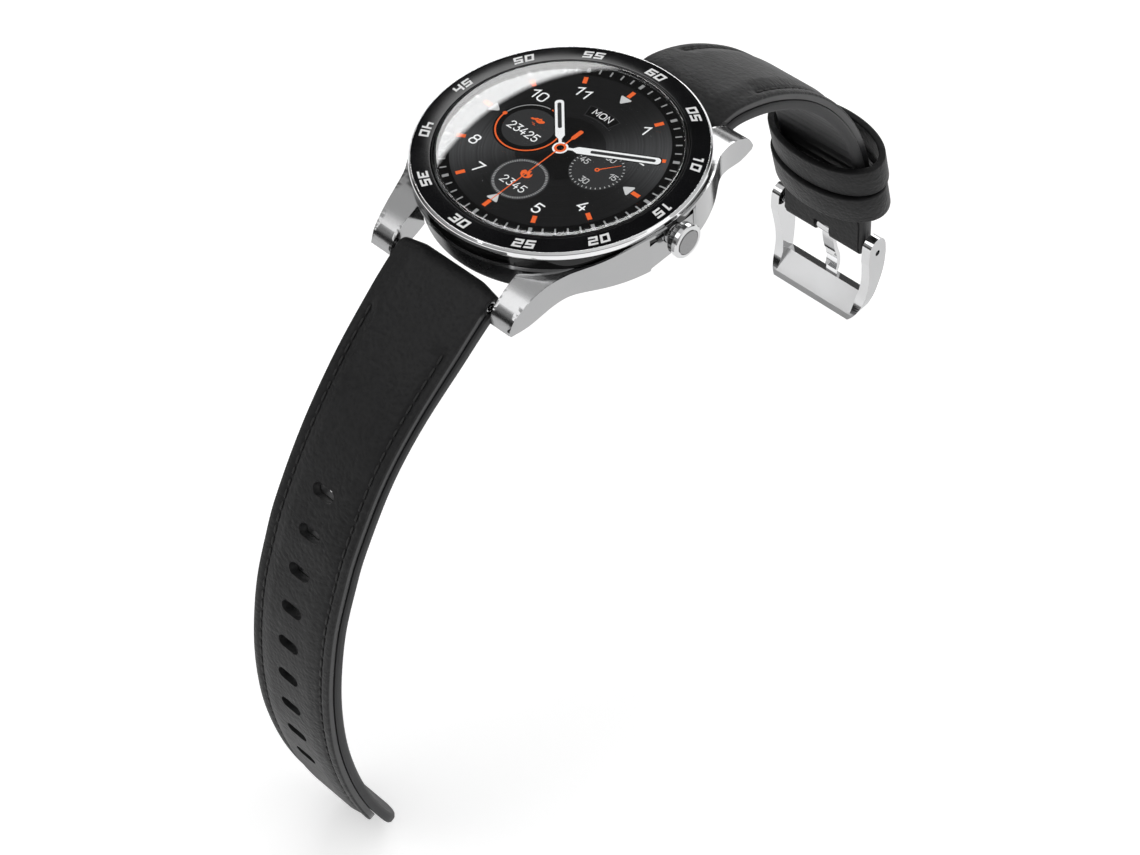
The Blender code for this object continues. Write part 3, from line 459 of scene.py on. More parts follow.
def lathe(name, profile, mat, seg=240, axis="Z", at=(0, 0, 0), wave=None, sharp=32, mats=None,
          pick=None):
    """Turned piece; profile is (radius, height) from the top down the outside and back up the
    inside.  wave(angle, radius, height) may change the radius for knurling."""
    bm = bmesh.new()
    rings = []
    for r, h in profile:
        if r < 1e-6:
            rings.append([bm.verts.new((0, 0, h * MM))])
            continue
        ring = []
        for i in range(seg):
            a = 2 * math.pi * i / seg
            rr = r + (wave(a, r, h) if wave else 0.0)
            ring.append(bm.verts.new((rr * MM * math.cos(a), rr * MM * math.sin(a), h * MM)))
        rings.append(ring)
    closed = profile[0][0] > 1e-6 and profile[-1][0] > 1e-6
    pairs = list(zip(rings, rings[1:])) + ([(rings[-1], rings[0])] if closed else [])
    for index, (a, b) in enumerate(pairs):
        for i in range(seg):
            j = (i + 1) % seg
            if len(a) == 1 and len(b) == 1:
                continue
            if len(a) == 1:
                f = bm.faces.new((a[0], b[j], b[i]))
            elif len(b) == 1:
                f = bm.faces.new((a[i], a[j], b[0]))
            else:
                f = bm.faces.new((a[i], a[j], b[j], b[i]))
            if pick:
                f.material_index = pick(index)
    if axis == "X":
        bmesh.ops.transform(bm, matrix=Matrix.Rotation(math.pi / 2, 4, "Y"), verts=bm.verts)
    if axis == "-X":
        bmesh.ops.transform(bm, matrix=Matrix.Rotation(-math.pi / 2, 4, "Y"), verts=bm.verts)
    bmesh.ops.translate(bm, vec=Vector(at) * MM, verts=bm.verts)
    return finish_mesh(name, bm, mat, sharp, mats)


def disc(name, r, z0, z1, mat, seg=128, axis="Z", at=(0, 0, 0), ease=0.0):
    prof = [(0, z1), (r, z1), (r, z0), (0, z0)]
    return lathe(name, soften(prof, ease, 4, False) if ease else prof, mat, seg, axis, at)


def bore(ob, name, r, lo, hi, seg, at, how="DIFFERENCE"):
    """Round cut along X through the point at, or a round boss with how="UNION"."""
    boolean(ob, disc(name, r, lo, hi, None, seg, "X", at), how)


def box(name, lo, hi, mat):
    bm = bmesh.new()
    bmesh.ops.create_cube(bm, size=1.0)
    bmesh.ops.scale(bm, vec=[(b - a) * MM for a, b in zip(lo, hi)], verts=bm.verts)
    bmesh.ops.translate(bm, vec=[(a + b) / 2 * MM for a, b in zip(lo, hi)], verts=bm.verts)
    return finish_mesh(name, bm, mat)


def prism(name, outline, lo, hi, mat, plane="XY"):
    """Outline (mm) in the named plane, extruded between lo and hi on the third axis."""
    place = {"XY": lambda p, h: (p[0], p[1], h), "YZ": lambda p, h: (h, p[0], p[1]),
             "XZ": lambda p, h: (p[0], h, p[1])}[plane]
    bm = bmesh.new()
    a = [bm.verts.new(Vector(place(p, lo)) * MM) for p in outline]
    b = [bm.verts.new(Vector(place(p, hi)) * MM) for p in outline]
    bm.faces.new(a)
    bm.faces.new(b)
    for i in range(len(outline)):
        j = (i + 1) % len(outline)
        bm.faces.new((a[i], a[j], b[j], b[i]))
    return finish_mesh(name, bm, mat)


def smooth_line(points, step):
    """Catmull-Rom line resampled at an even step: (point, outward normal, distance)."""
    pts = [Vector(p) for p in points]
    pts = [pts[0] * 2 - pts[1]] + pts + [pts[-1] * 2 - pts[-2]]
    fine = []
    for i in range(1, len(pts) - 2):
        p0, p1, p2, p3 = pts[i - 1:i + 3]
        for k in range(24):
            t = k / 24
            fine.append(0.5 * ((2 * p1) + (p2 - p0) * t + (2 * p0 - 5 * p1 + 4 * p2 - p3) * t * t
                               + (3 * p1 - p0 - 3 * p2 + p3) * t * t * t))
    fine.append(pts[-2])
    run = [0.0]
    for a, b in zip(fine, fine[1:]):
        run.append(run[-1] + (b - a).length)
    count = max(2, round(run[-1] / step))
    out = []
    j = 0
    for i in range(count + 1):
        s = run[-1] * i / count
        while j < len(run) - 2 and run[j + 1] < s:
            j += 1
        f = (s - run[j]) / (run[j + 1] - run[j])
        d = (fine[j + 1] - fine[j]).normalized()
        k = min(j + 1, len(fine) - 2)
        d2 = (fine[k + 1] - fine[k]).normalized()
        d = d.lerp(d2, f).normalized()
        out.append((fine[j].lerp(fine[j + 1], f), Vector((-d.y, d.x)), s))
    return out


def curve_outline(points, step=0.35):
    """Smooth open outline through the points."""
    return [tuple(p) for p, _, _ in smooth_line(points, step)]


def ease(t):
    t = min(1.0, max(0.0, t))
    return t * t * (3 - 2 * t)


def join(name, obs):
    """One object out of several meshes, in the given name."""
    bm = bmesh.new()
    slots = []
    for ob in obs:
        offset = []
        for m in ob.data.materials:
            if m not in slots:
                slots.append(m)
            offset.append(slots.index(m))
        start = len(bm.faces)
        ob.data.transform(ob.matrix_world)
        bm.from_mesh(ob.data)
        bm.faces.ensure_lookup_table()
        for f in bm.faces[start:]:
            f.material_index = offset[f.material_index] if offset else 0
        bpy.data.objects.remove(ob, do_unlink=True)
    me = bpy.data.meshes.new(name)
    bm.to_mesh(me)
    bm.free()
    for m in slots:
        me.materials.append(m)
    ob = bpy.data.objects.new(name, me)
    scene.collection.objects.link(ob)
    smooth(ob)
    return ob


def place(ob, body, slot, *nodes):
    """Rides on the body and stands for the CAD nodes, which it hides; the slot argument is not
    used.
    """
    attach(ob, body)
    if nodes:
        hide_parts(*nodes)
    return ob


# ================================================================ sizes shared with the part
BEZEL_R, CASE_R, HOUSING_R, GAP = 22.3, 22.75, 21.2, 0.2
FIT = 0.12               # clearance of a bore or a seat
RING_TOP, RING_FLOOR, SKIRT_Z = 0.6, -1.6, -2.4
GLASS_R, GLASS_T = 18.4, 0.85
INSERT_IN, INSERT_OUT = 18.95, 21.75
DISPLAY_R, DISPLAY_T = 18.1, 0.65
FLANGE_Z, FLANGE_T, FLANGE_IN = SKIRT_Z - 0.1, 0.7, 18.2
CASE_FLOOR = -6.9
BAR_Y, BAR_Z = 24.2, -7.9
LUG_GAP, LUG_TIP, LUG_OUT = 10.35, 25.9, 14.35
BAR_R, TIP_R, BAR_HALF = 0.75, 0.42, 9.2
HOUSING_FLOOR, REAR_R, REAR_Z = -8.3, 19.4, -9.1
PLATEAU_R, PLATEAU_Z, WINDOW_R = 13.2, -9.65, 6.2
SCREW_R, SCREW_AT, BOARD_R = 0.95, 16.4, 19.1
CROWN_Z, CROWN_R, CROWN_IN, CROWN_OUT, STEM_R, TUBE_R = -2.9, 2.7, 23.15, 25.2, 0.6, 1.6
CROWN_AXIS = (0, 0, z_of(CROWN_Z))
KNOB_FLOOR = 24.35       # blind end of the bore in the knob
POCKET_X, POCKET_HALF = 21.95, 4.6
CONTACT_X, CONTACT_Y = 3.0, -10.6
HALF_LUG, HALF_TAIL = 9.75, 8.95
LEATHER_T, SILICONE_T, SEAM = 1.35, 1.65, 0.12
HOLE_COUNT, HOLE_PITCH, HOLE_FIRST, HOLE_LONG, HOLE_WIDE = 9, 7.0, 37.4, 4.4, 2.1
LONG_LINE = [(24.6, -6.15), (28.2, -8.5), (31.7, -11.1), (40.3, -17.9), (48.2, -25.9),
             (55.3, -35.8), (58.7, -42.2), (61.6, -48.7), (63.7, -55.6), (65.2, -62.6),
             (66.0, -69.5), (66.2, -76.4), (65.7, -83.3), (64.7, -89.8), (63.1, -96.4),
             (60.8, -103.0), (57.6, -109.6)]
SHORT_LINE = [(24.4, -6.0), (28.0, -5.9), (32.5, -7.1), (37.2, -9.2), (42.0, -12.2),
              (46.9, -16.1), (51.8, -21.3), (55.9, -27.2), (58.8, -33.0), (60.7, -38.6),
              (61.9, -44.5), (62.4, -50.5), (62.5, -56.0), (62.45, -60.2)]
KEEPER_A, KEEPER_B, KEEPER_T, KEEPER_W = 10.6, 5.0, 1.2, 6.3
KEEPER_AT = {"keeper_fixed": (61.3, -48.5), "keeper_free": (60.6, -41.9)}
KEEPER_TILT = math.radians(11.5)
PIN_Y, PIN_Z, PIN_R = 60.95, -60.45, 0.7
ARM_IN, ARM_OUT, TONGUE_HALF, SLOT_HALF = 9.45, 11.2, 1.35, 1.75


def lifted(profile):
    """Profile with each height passed through z_of."""
    return [(r, z_of(h)) for r, h in profile]


# ================================================================ bezel, glass, display
RING_PROFILE = soften(lifted([
    (21.95, RING_TOP), (BEZEL_R, RING_TOP - 0.35), (BEZEL_R, -0.55), (BEZEL_R - 0.15, -0.75),
    (BEZEL_R - 0.15, SKIRT_Z), (21.3, SKIRT_Z), (21.3, RING_FLOOR), (17.3, RING_FLOOR),
    (17.3, -0.95), (18.3, -0.95), (18.3, 0.0), (GLASS_R + GAP, 0.05), (GLASS_R + GAP, 0.62),
    (INSERT_IN - GAP / 2, 0.62), (INSERT_IN - GAP / 2, 0.0), (INSERT_OUT + GAP / 2, 0.0),
    (INSERT_OUT + GAP / 2, RING_TOP)]), 0.14, 4)


def in_shaded_groove(i):
    """Slot 1 for the groove under the polished rim and for every wall inside the inlay: the
    near-black steel there is painted shade for these recesses.
    """
    (r0, h0), (r1, h1) = RING_PROFILE[i], RING_PROFILE[(i + 1) % len(RING_PROFILE)]
    outer = min(r0, r1) > 22.0 and max(h0, h1) < z_of(-0.62)
    return 1 if outer or max(r0, r1) < INSERT_IN + 0.3 else 0


ring = lathe("bezel_polished", RING_PROFILE, BEZEL, 288, mats=[BEZEL, GROOVE_SHADE], pick=in_shaded_groove)
bore(ring, "tube_bore", TUBE_R + FIT, 15, 30, 48, CROWN_AXIS)
bake_modifiers(ring)
place(ring, "case", "polished_steel", "bezel_ring")

insert = lathe("bezel_inlay", soften(lifted([
    (INSERT_OUT, 0.42), (INSERT_OUT, 0.15), (INSERT_IN, 0.15), (INSERT_IN, 0.55),
    (INSERT_IN + 0.3, 0.55)]), 0.07, 3), CERAMIC, 288)
place(insert, "case", "black_plastic", "bezel_insert")

# blocky numerals, drawn on a 4 x 5 grid of cells and raised a little from the inlay
BLOCKS = {
    "0": ["1111", "1001", "1001", "1001", "1111"],
    "1": ["0110", "0010", "0010", "0010", "0010"],
    "2": ["1111", "0001", "1111", "1000", "1111"],
    "3": ["1111", "0001", "0111", "0001", "1111"],
    "4": ["1001", "1001", "1111", "0001", "0001"],
    "5": ["1111", "1000", "1111", "0001", "1111"],
    "6": ["1111", "1000", "1111", "1001", "1111"],
}
CELL_X = [0.0, 0.36, 0.70, 1.04, 1.40]
CELL_Y = [0.0, 0.33, 0.62, 0.93, 1.22, 1.55]


def block_text(text, slant=0.16):
    """Cells of the digits as closed solids lying in XY, centred on the origin."""
    bm = bmesh.new()
    width = len(text) * 1.40 + (len(text) - 1) * 0.34
    for n, ch in enumerate(text):
        verts = {}

        def corner(i, j):
            if (i, j) not in verts:
                y = CELL_Y[j] - 0.775
                x = CELL_X[i] + n * 1.74 - width / 2 + slant * y
                verts[i, j] = bm.verts.new((x * MM, y * MM, 0))
            return verts[i, j]
        for row, line in enumerate(BLOCKS[ch]):
            for col, on in enumerate(line):
                if on == "1":
                    j = 4 - row
                    bm.faces.new((corner(col, j), corner(col + 1, j), corner(col + 1, j + 1),
                                  corner(col, j + 1)))
    top = bmesh.ops.extrude_face_region(bm, geom=list(bm.faces))
    bmesh.ops.translate(bm, vec=(0, 0, 0.06 * MM),
                        verts=[v for v in top["geom"] if isinstance(v, bmesh.types.BMVert)])
    return bm


NUMERAL_R, INLAY_FALL = 20.4, 0.13
numerals = []
for minute in range(5, 65, 5):
    bm = block_text("%02d" % minute)
    flip = 20 <= minute <= 40               # these read from the outside
    for v in bm.verts:                      # wrap round the ring
        r = NUMERAL_R * MM + (-v.co.y if flip else v.co.y)
        a = (v.co.x if not flip else -v.co.x) / (NUMERAL_R * MM)
        h = 0.55 - (r / MM - INSERT_IN - 0.3) * INLAY_FALL / (INSERT_OUT - INSERT_IN - 0.3)
        v.co = Vector((r * math.sin(a), r * math.cos(a), z_of(h - 0.03) * MM + v.co.z))
    bmesh.ops.rotate(bm, verts=bm.verts, cent=(0, 0, 0),
                     matrix=Matrix.Rotation(math.radians(-6 * minute), 3, "Z"))
    numerals.append(finish_mesh("numeral_%02d" % minute, bm, WHITE_INK))
place(join("bezel_numerals", numerals), "case", "black_plastic")

cover = lathe("glass_cover", soften(lifted([
    (0, 0.15 + GLASS_T), (GLASS_R, 0.15 + GLASS_T), (GLASS_R, 0.15), (0, 0.15)]),
    0.3, 6, False), GLASS, 288)
place(cover, "case", "clear_glass", "cover_glass")
panel = lathe("display_face", soften(lifted([
    (0, 0.0), (DISPLAY_R, 0.0), (DISPLAY_R, -DISPLAY_T), (0, -DISPLAY_T)]),
    0.05, 3, False), DIAL, 240)
place(panel, "case", "display_black", "display_panel")

# ---------------------------------------------------------------- drawn dial
ART = {"orange": [], "white": [], "pale": [], "grey": [], "dim": [], "ink": []}
ART_MAT = {"orange": ORANGE, "white": WHITE, "pale": PALE, "grey": GREY, "dim": DIM, "ink": INK}
# heights over the display (mm) that keep the layers of the drawing apart
art_level = {"dim": 0.010, "ink": 0.022, "grey": 0.034, "pale": 0.036, "white": 0.038,
             "orange": 0.036}


def flat(colour, outline, at=(0.0, 0.0), turn=0.0, lift=0.0, thick=0.010, hole=None):
    """A flat shape of light on the display; outline in mm, turn clockwise in degrees."""
    z = z_of(art_level[colour] + lift)
    c, s = math.cos(math.radians(-turn)), math.sin(math.radians(-turn))

    def move(p):
        return (at[0] + p[0] * c - p[1] * s, at[1] + p[0] * s + p[1] * c)
    bm = bmesh.new()
    loops = []
    for line in (outline, hole):
        if line is not None:
            points = [move(p) for p in line]
            loops.append([[bm.verts.new((x * MM, y * MM, h * MM)) for x, y in points]
                          for h in (z, z + thick)])
    if hole is None:
        for face in loops[0]:
            bm.faces.new(face)
    else:
        n = len(outline)
        for i in range(n):
            for outer, inner in zip(*loops):
                bm.faces.new((outer[i], outer[(i + 1) % n], inner[(i + 1) % n], inner[i]))
    for a, b in loops:
        for i in range(len(a)):
            j = (i + 1) % len(a)
            bm.faces.new((a[i], a[j], b[j], b[i]))
    ART[colour].append(finish_mesh("mark", bm, ART_MAT[colour]))


def circle(r, n=64, at=(0.0, 0.0)):
    return [(at[0] + r * math.cos(2 * math.pi * i / n), at[1] + r * math.sin(2 * math.pi * i / n))
            for i in range(n)]


def bar(w, y0, y1, r=0.0, n=6):
    """Upright bar of half width w from y0 to y1 with rounded ends of radius r."""
    if r <= 0:
        return [(-w, y0), (w, y0), (w, y1), (-w, y1)]
    pts = []
    for cx, cy, start in ((w - r, y0 + r, -90), (w - r, y1 - r, 0), (-w + r, y1 - r, 90),
                          (-w + r, y0 + r, 180)):
        for k in range(n + 1):
            a = math.radians(start + 90 * k / n)
            pts.append((cx + r * math.cos(a), cy + r * math.sin(a)))
    return pts


def sector(r0, r1, a0, a1, n=40):
    """Ring sector between two clockwise angles from 12 o'clock."""
    a = [math.radians(a0 + (a1 - a0) * i / n) for i in range(n + 1)]
    return ([(r1 * math.sin(t), r1 * math.cos(t)) for t in a]
            + [(r0 * math.sin(t), r0 * math.cos(t)) for t in reversed(a)])


def pen(colour, paths, width, at, lift=0.0):
    """Thin rounded strokes, each path a list of points in mm."""
    for path in paths:
        closed = len(path) > 3 and path[0] == path[-1]
        pts = [Vector(p) for p in (path[:-1] if closed else path)]
        n = len(pts)
        left, rightside = [], []
        for i, p in enumerate(pts):
            before = pts[i - 1] if (i or closed) else None
            after = pts[(i + 1) % n] if (i < n - 1 or closed) else None
            d0 = (p - before).normalized() if before is not None else (after - p).normalized()
            d1 = (after - p).normalized() if after is not None else d0
            t = (d0 + d1).normalized()
            m = Vector((-t.y, t.x))
            k = max(0.5, m.dot(Vector((-d0.y, d0.x))))
            ext = width / 2 / k
            left.append(p + m * ext)
            rightside.append(p - m * ext)
        if closed:
            flat(colour, [tuple(v) for v in left], at, 0, lift, hole=[tuple(v) for v in rightside])
        else:
            caps = []
            for centre, d, side in ((pts[-1], (pts[-1] - pts[-2]).normalized(), 1),
                                    (pts[0], (pts[0] - pts[1]).normalized(), 1)):
                cap = []
                for k in range(1, 6):
                    a = math.radians(90 - 30 * k)
                    nrm = Vector((-d.y, d.x))
                    cap.append(centre + d * math.cos(a) * width / 2
                               + nrm * math.sin(a) * width / 2 * side)
                caps.append(cap)
            outline = left + caps[0] + rightside[::-1] + caps[1]
            flat(colour, [tuple(v) for v in outline], at, 0, lift)


def arc(cx, cy, rx, ry, a0, a1, n=10):
    return [(cx + rx * math.cos(math.radians(a0 + (a1 - a0) * k / n)),
             cy + ry * math.sin(math.radians(a0 + (a1 - a0) * k / n))) for k in range(n + 1)]


def rounded_box(w, h, r):
    return (arc(w - r, h - r, r, r, 0, 90, 5) + arc(r, h - r, r, r, 90, 180, 5)
            + arc(r, r, r, r, 180, 270, 5) + arc(w - r, r, r, r, 270, 360, 5))


# strokes of the drawn digits and letters on a cell 0.62 wide and 1 high
ring_low = rounded_box(0.60, 0.56, 0.24)
GLYPH = {
    "0": [rounded_box(0.62, 1.0, 0.26) + [rounded_box(0.62, 1.0, 0.26)[0]]],
    "1": [[(0.02, 0.70), (0.40, 1.0), (0.40, 0.0)]],
    "2": [[(0.03, 0.78)] + arc(0.31, 0.72, 0.28, 0.28, 160, -20, 8) + [(0.02, 0.0), (0.62, 0.0)]],
    "3": [[(0.04, 1.0), (0.58, 1.0), (0.30, 0.60)] + arc(0.30, 0.30, 0.30, 0.30, 80, -150, 9)],
    "4": [[(0.36, 1.0), (0.0, 0.30), (0.62, 0.30)], [(0.44, 0.58), (0.44, 0.0)]],
    "5": [[(0.58, 1.0), (0.08, 1.0), (0.05, 0.54)] + arc(0.30, 0.31, 0.30, 0.31, 115, -150, 10)],
    "6": [[(0.44, 1.0), (0.06, 0.42)], ring_low + [ring_low[0]]],
    "7": [[(0.0, 1.0), (0.60, 1.0), (0.20, 0.0)]],
    "8": [[(x * 0.96 + 0.01, y) for x, y in ring_low + [ring_low[0]]],
          [(x * 0.84 + 0.06, y * 0.82 + 0.54) for x, y in ring_low + [ring_low[0]]]],
    "M": [[(0.0, 0.0), (0.0, 1.0), (0.36, 0.30), (0.72, 1.0), (0.72, 0.0)]],
    "O": [rounded_box(0.70, 1.0, 0.28) + [rounded_box(0.70, 1.0, 0.28)[0]]],
    "N": [[(0.0, 0.0), (0.0, 1.0), (0.62, 0.0), (0.62, 1.0)]],
}


def write(text, at, height, width, colour="white", pitch=None, stretch=1.0):
    gaps = {"1": 0.46, "M": 0.72, "O": 0.70}
    sizes = [gaps.get(ch, 0.62) * height * stretch for ch in text]
    space = (pitch or 0.30) * height
    total = sum(sizes) + space * (len(text) - 1)
    x = at[0] - total / 2
    for ch, size in zip(text, sizes):
        pen(colour, [[(px * height * stretch, py * height) for px, py in path]
                     for path in GLYPH[ch]], width, (x, at[1] - height / 2))
        x += size + space


# minute marks, hour marks and numbers; the black band behind the minute marks is in DIAL
for k in range(60):
    wide = k % 5 == 0
    flat("grey", bar(0.27 if wide else 0.12, 16.8, 17.8), (0, 0), 6 * k, 0.028)
for k in range(12):
    flat("orange", bar(0.34, 14.35, 15.75), (0, 0), 30 * k)
for k in range(4):
    tri = soften([(x + 50, y) for x, y in [(-1.12, 14.14), (1.12, 14.14), (0.0, 12.5)]], 0.42, 5)
    flat("pale", [(x - 50, y) for x, y in tri], (0, 0), 90 * k)
NUMBER_IN = 0.965
for text, spot in (("1", (7.1, 11.2)), ("2", (11.5, 6.3)), ("4", (11.35, -6.85)),
                   ("5", (6.55, -11.5)), ("7", (-6.5, -11.0)), ("8", (-11.3, -7.0)),
                   ("10", (-10.85, 6.45)), ("11", (-6.15, 11.25))):
    write(text, (spot[0] * NUMBER_IN, spot[1] * NUMBER_IN), 1.8, 0.25, stretch=1.12)

# day window at 12
flat("dim", sector(7.72, 10.02, -17.6, 17.6), lift=0.0)
flat("ink", sector(7.86, 9.90, -16.9, 16.9), lift=0.0)
write("MON", (0.0, 8.95), 1.12, 0.14, pitch=0.30, stretch=1.15)

# steps at 9 o'clock
STEPS = (-6.65, 0.15)
flat("ink", circle(5.35), STEPS, 0, -0.006)
flat("dim", circle(4.02), STEPS, 0, 0.018)
flat("grey", sector(4.86, 5.02, 275, 356), STEPS, 0, -0.006)
flat("orange", sector(4.83, 5.07, 0, 270, 90), STEPS)
flat("orange", circle(0.36, 24, (-4.95, 0.0)), STEPS)
write("23425", (STEPS[0], STEPS[1] - 1.05), 1.42, 0.19, pitch=0.22)
shoe = [(-1.25, 0.18), (-0.95, 0.02), (-0.45, 0.10), (0.0, -0.28), (0.55, -0.36), (1.05, -0.2),
        (1.2, 0.05), (1.0, 0.22), (0.62, 0.24), (0.42, 0.55), (0.1, 0.42), (-0.25, 0.50),
        (-0.62, 0.34), (-1.05, 0.36)]
flat("orange", [(x + 0.02, y * 1.15 + 0.05) for x, y in shoe], (STEPS[0], STEPS[1] + 1.8), -18)
for k in (-0.25, 0.1):
    pen("ink", [[(k, 0.15), (k + 0.22, 0.42)]], 0.07, (STEPS[0], STEPS[1] + 1.75), 0.028)
pen("orange", [[(-0.45, -0.62), (0.1, -0.62)], [(-0.1, -0.85), (0.35, -0.85)]], 0.07,
    (STEPS[0], STEPS[1] + 1.75))

# calories at 6 o'clock
BURN = (0.1, -8.45)
flat("dim", circle(4.3), BURN, 0, 0.0)
for k in range(72):
    flat("pale", bar(0.042, 3.7, 4.1), BURN, 5 * k)
write("2345", (BURN[0], BURN[1] - 1.3), 1.36, 0.15, pitch=0.26)
flame = [(-1.15, 0.1), (-0.9, -0.55), (-0.3, -0.9), (0.4, -0.88), (0.95, -0.5), (1.1, 0.05),
         (0.85, 0.62), (0.62, 0.2), (0.35, 0.5), (0.3, 1.05), (-0.05, 0.75), (-0.25, 0.35),
         (-0.45, 0.62), (-0.85, 0.6)]
flat("orange", [(x * 0.88, y * 0.9) for x, y in flame], (BURN[0], BURN[1] + 1.35), 0)
flat("dim", [(x * 0.34, y * 0.34 - 0.25) for x, y in flame], (BURN[0], BURN[1] + 1.3), 0, 0.038)

# running seconds at 3 o'clock
SECONDS = (7.3, 0.15)
flat("dim", circle(4.2), SECONDS, 0, 0.0)
for k in range(36):
    flat("pale", bar(0.055, 3.76, 4.06), SECONDS, 10 * k)
for text, dx, dy in (("60", 0.05, 2.95), ("45", -2.75, 0.35), ("15", 2.8, 0.35), ("30", 0, -2.75)):
    write(text, (SECONDS[0] + dx, SECONDS[1] + dy), 0.98, 0.13, "pale", pitch=0.2)
flat("orange", [(-0.09, 0.3), (0.09, 0.3), (0.03, 3.6), (-0.03, 3.6)], SECONDS, 36)
flat("orange", circle(0.38, 32), SECONDS, 0, 0, 0.01, circle(0.17, 32))

# hands
HOUR_TURN, MINUTE_TURN = 314.8, 60.9
for turn, tip, slot0, slot1 in ((HOUR_TURN, 10.45, 4.25, 9.85), (MINUTE_TURN, 15.05, 4.55, 14.3)):
    neck = [(-0.24, 0.6), (0.24, 0.6), (0.24, 1.9), (0.69, 2.65)]
    body = [p for p in bar(0.69, 2.6, tip, 0.6) if p[1] > 4]
    outline = neck + body + [(-x, y) for x, y in reversed(neck[3:])] + [(-0.24, 1.9)]
    flat("ink", [(x * 1.28, y * 1.012) for x, y in outline], (0.0, 0.0), turn, 0.026)
    flat("white", outline, (0, 0), turn, 0.022)
    flat("dim", bar(0.30, slot0, slot1, 0.28), (0, 0), turn, 0.062)
flat("white", circle(1.2, 48), (0, 0), 0, 0.026)
flat("orange", [(-0.10, -0.9), (-0.07, -15.4), (0.07, -15.4), (0.10, -0.9), (0.12, 2.3),
                (0.36, 2.7), (0.36, 4.45), (0.22, 4.65), (-0.22, 4.65), (-0.36, 4.45),
                (-0.36, 2.7), (-0.12, 2.3)], (0, 0), 0, 0.040)
flat("orange", circle(0.92, 48), (0, 0), 0, 0.044)
flat("ink", circle(0.55, 48), (0, 0), 0, 0.072)
for colour, marks in ART.items():
    place(join("dial_%s" % colour, marks), "case", "display_black")

# ================================================================ case frame
START = math.radians(36)
N_ARC = 72
plan = [(CASE_R * math.cos(-START + 2 * START * i / N_ARC),
         CASE_R * math.sin(-START + 2 * START * i / N_ARC)) for i in range(N_ARC + 1)]
flank = curve_outline([(18.4, 13.37), (16.75, 15.9), (15.75, 18.6), (15.1, 21.4),
                       (LUG_OUT + 0.25, 24.2), (LUG_OUT, LUG_TIP)], 0.6)[1:]
case_plan = plan + flank
case_plan += [(-x, y) for x, y in reversed(flank)]
case_plan += [(-x, y) for x, y in reversed(plan)]
case_plan += [(-x, -y) for x, y in flank]
case_plan += [(x, -y) for x, y in reversed(flank)]
top = curve_outline([(0.0, -0.40), (6.0, -0.6), (10.0, -1.3), (13.0, -2.1), (16.0, -2.9),
                     (19.0, -3.6), (21.5, -4.6), (23.5, -5.8), (24.9, -7.0), (LUG_TIP, -8.9)],
                    0.7)
bottom = curve_outline([(24.0, -9.5), (22.4, -9.35), (20.4, -8.7), (18.2, -7.8), (16.0, -7.15),
                        (13.5, CASE_FLOOR), (9.0, CASE_FLOOR)], 0.7)
side = top + [(LUG_TIP - 0.4, -9.45)] + bottom
side = side + [(-y, z) for y, z in reversed(side[1:])]
case = prism("case_steel", case_plan, z_of(-10.4), z_of(0.6), CASE_STEEL)
boolean(case, prism("side_profile", [(y, z_of(z)) for y, z in side], -30, 30, None, "YZ"),
        "INTERSECT")
boolean(case, lathe("case_bore", lifted([
    (0, 2), (BEZEL_R + FIT, 2), (BEZEL_R + FIT, FLANGE_Z), (FLANGE_IN, FLANGE_Z),
    (FLANGE_IN, FLANGE_Z - FLANGE_T), (HOUSING_R + FIT, FLANGE_Z - FLANGE_T),
    (HOUSING_R + FIT, -14), (0, -14)]), None, 240))
for sign in (1, -1):
    y0, y1 = sorted((sign * 17, sign * 30))
    boolean(case, box("gap_low", (-LUG_GAP, y0, z_of(-12)),
                      (LUG_GAP, y1, z_of(FLANGE_Z - FLANGE_T + 0.02)), None))
    y0, y1 = sorted((sign * 17.5, sign * 30))
    gap = box("gap_top", (-LUG_GAP, y0, z_of(-12.2)), (LUG_GAP, y1, z_of(1.5)), None)
    boolean(gap, disc("gap_round", BEZEL_R - 0.2, z_of(-13), z_of(3), None, 240))
    bake_modifiers(gap)
    boolean(case, gap)
    for end in (1, -1):
        x0, x1 = sorted((end * (LUG_GAP - 1), end * (LUG_GAP + 1.6)))
        bore(case, "tip_hole", TIP_R + FIT, x0, x1, 24, (0, sign * BAR_Y, z_of(BAR_Z)))
boolean(case, lathe("neck", lifted([
    (BEZEL_R - 0.15, FLANGE_Z), (BEZEL_R - 0.15, FLANGE_Z - FLANGE_T),
    (FLANGE_IN + 0.01, FLANGE_Z - FLANGE_T), (FLANGE_IN + 0.01, FLANGE_Z)]), None,
    240), "UNION")
boolean(case, prism("crown_pocket", [(POCKET_X, POCKET_HALF), (30, POCKET_HALF + 5.5),
                                     (30, -POCKET_HALF - 5.5), (POCKET_X, -POCKET_HALF)],
                    z_of(-9), z_of(-0.95), None))
bore(case, "tube_bore", TUBE_R + FIT, 15, 30, 48, CROWN_AXIS)
bore(case, "crown_room", CROWN_R + GAP, POCKET_X, 40, 96, CROWN_AXIS)
bake_modifiers(case)
case.data.materials.append(CASE_STEEL)
bevel(case, 0.13, 2, 34)
case.modifiers["edge"].material = 1
bake_modifiers(case, 80)
even_normals(case)
place(case, "case", "polished_steel", "case_frame")

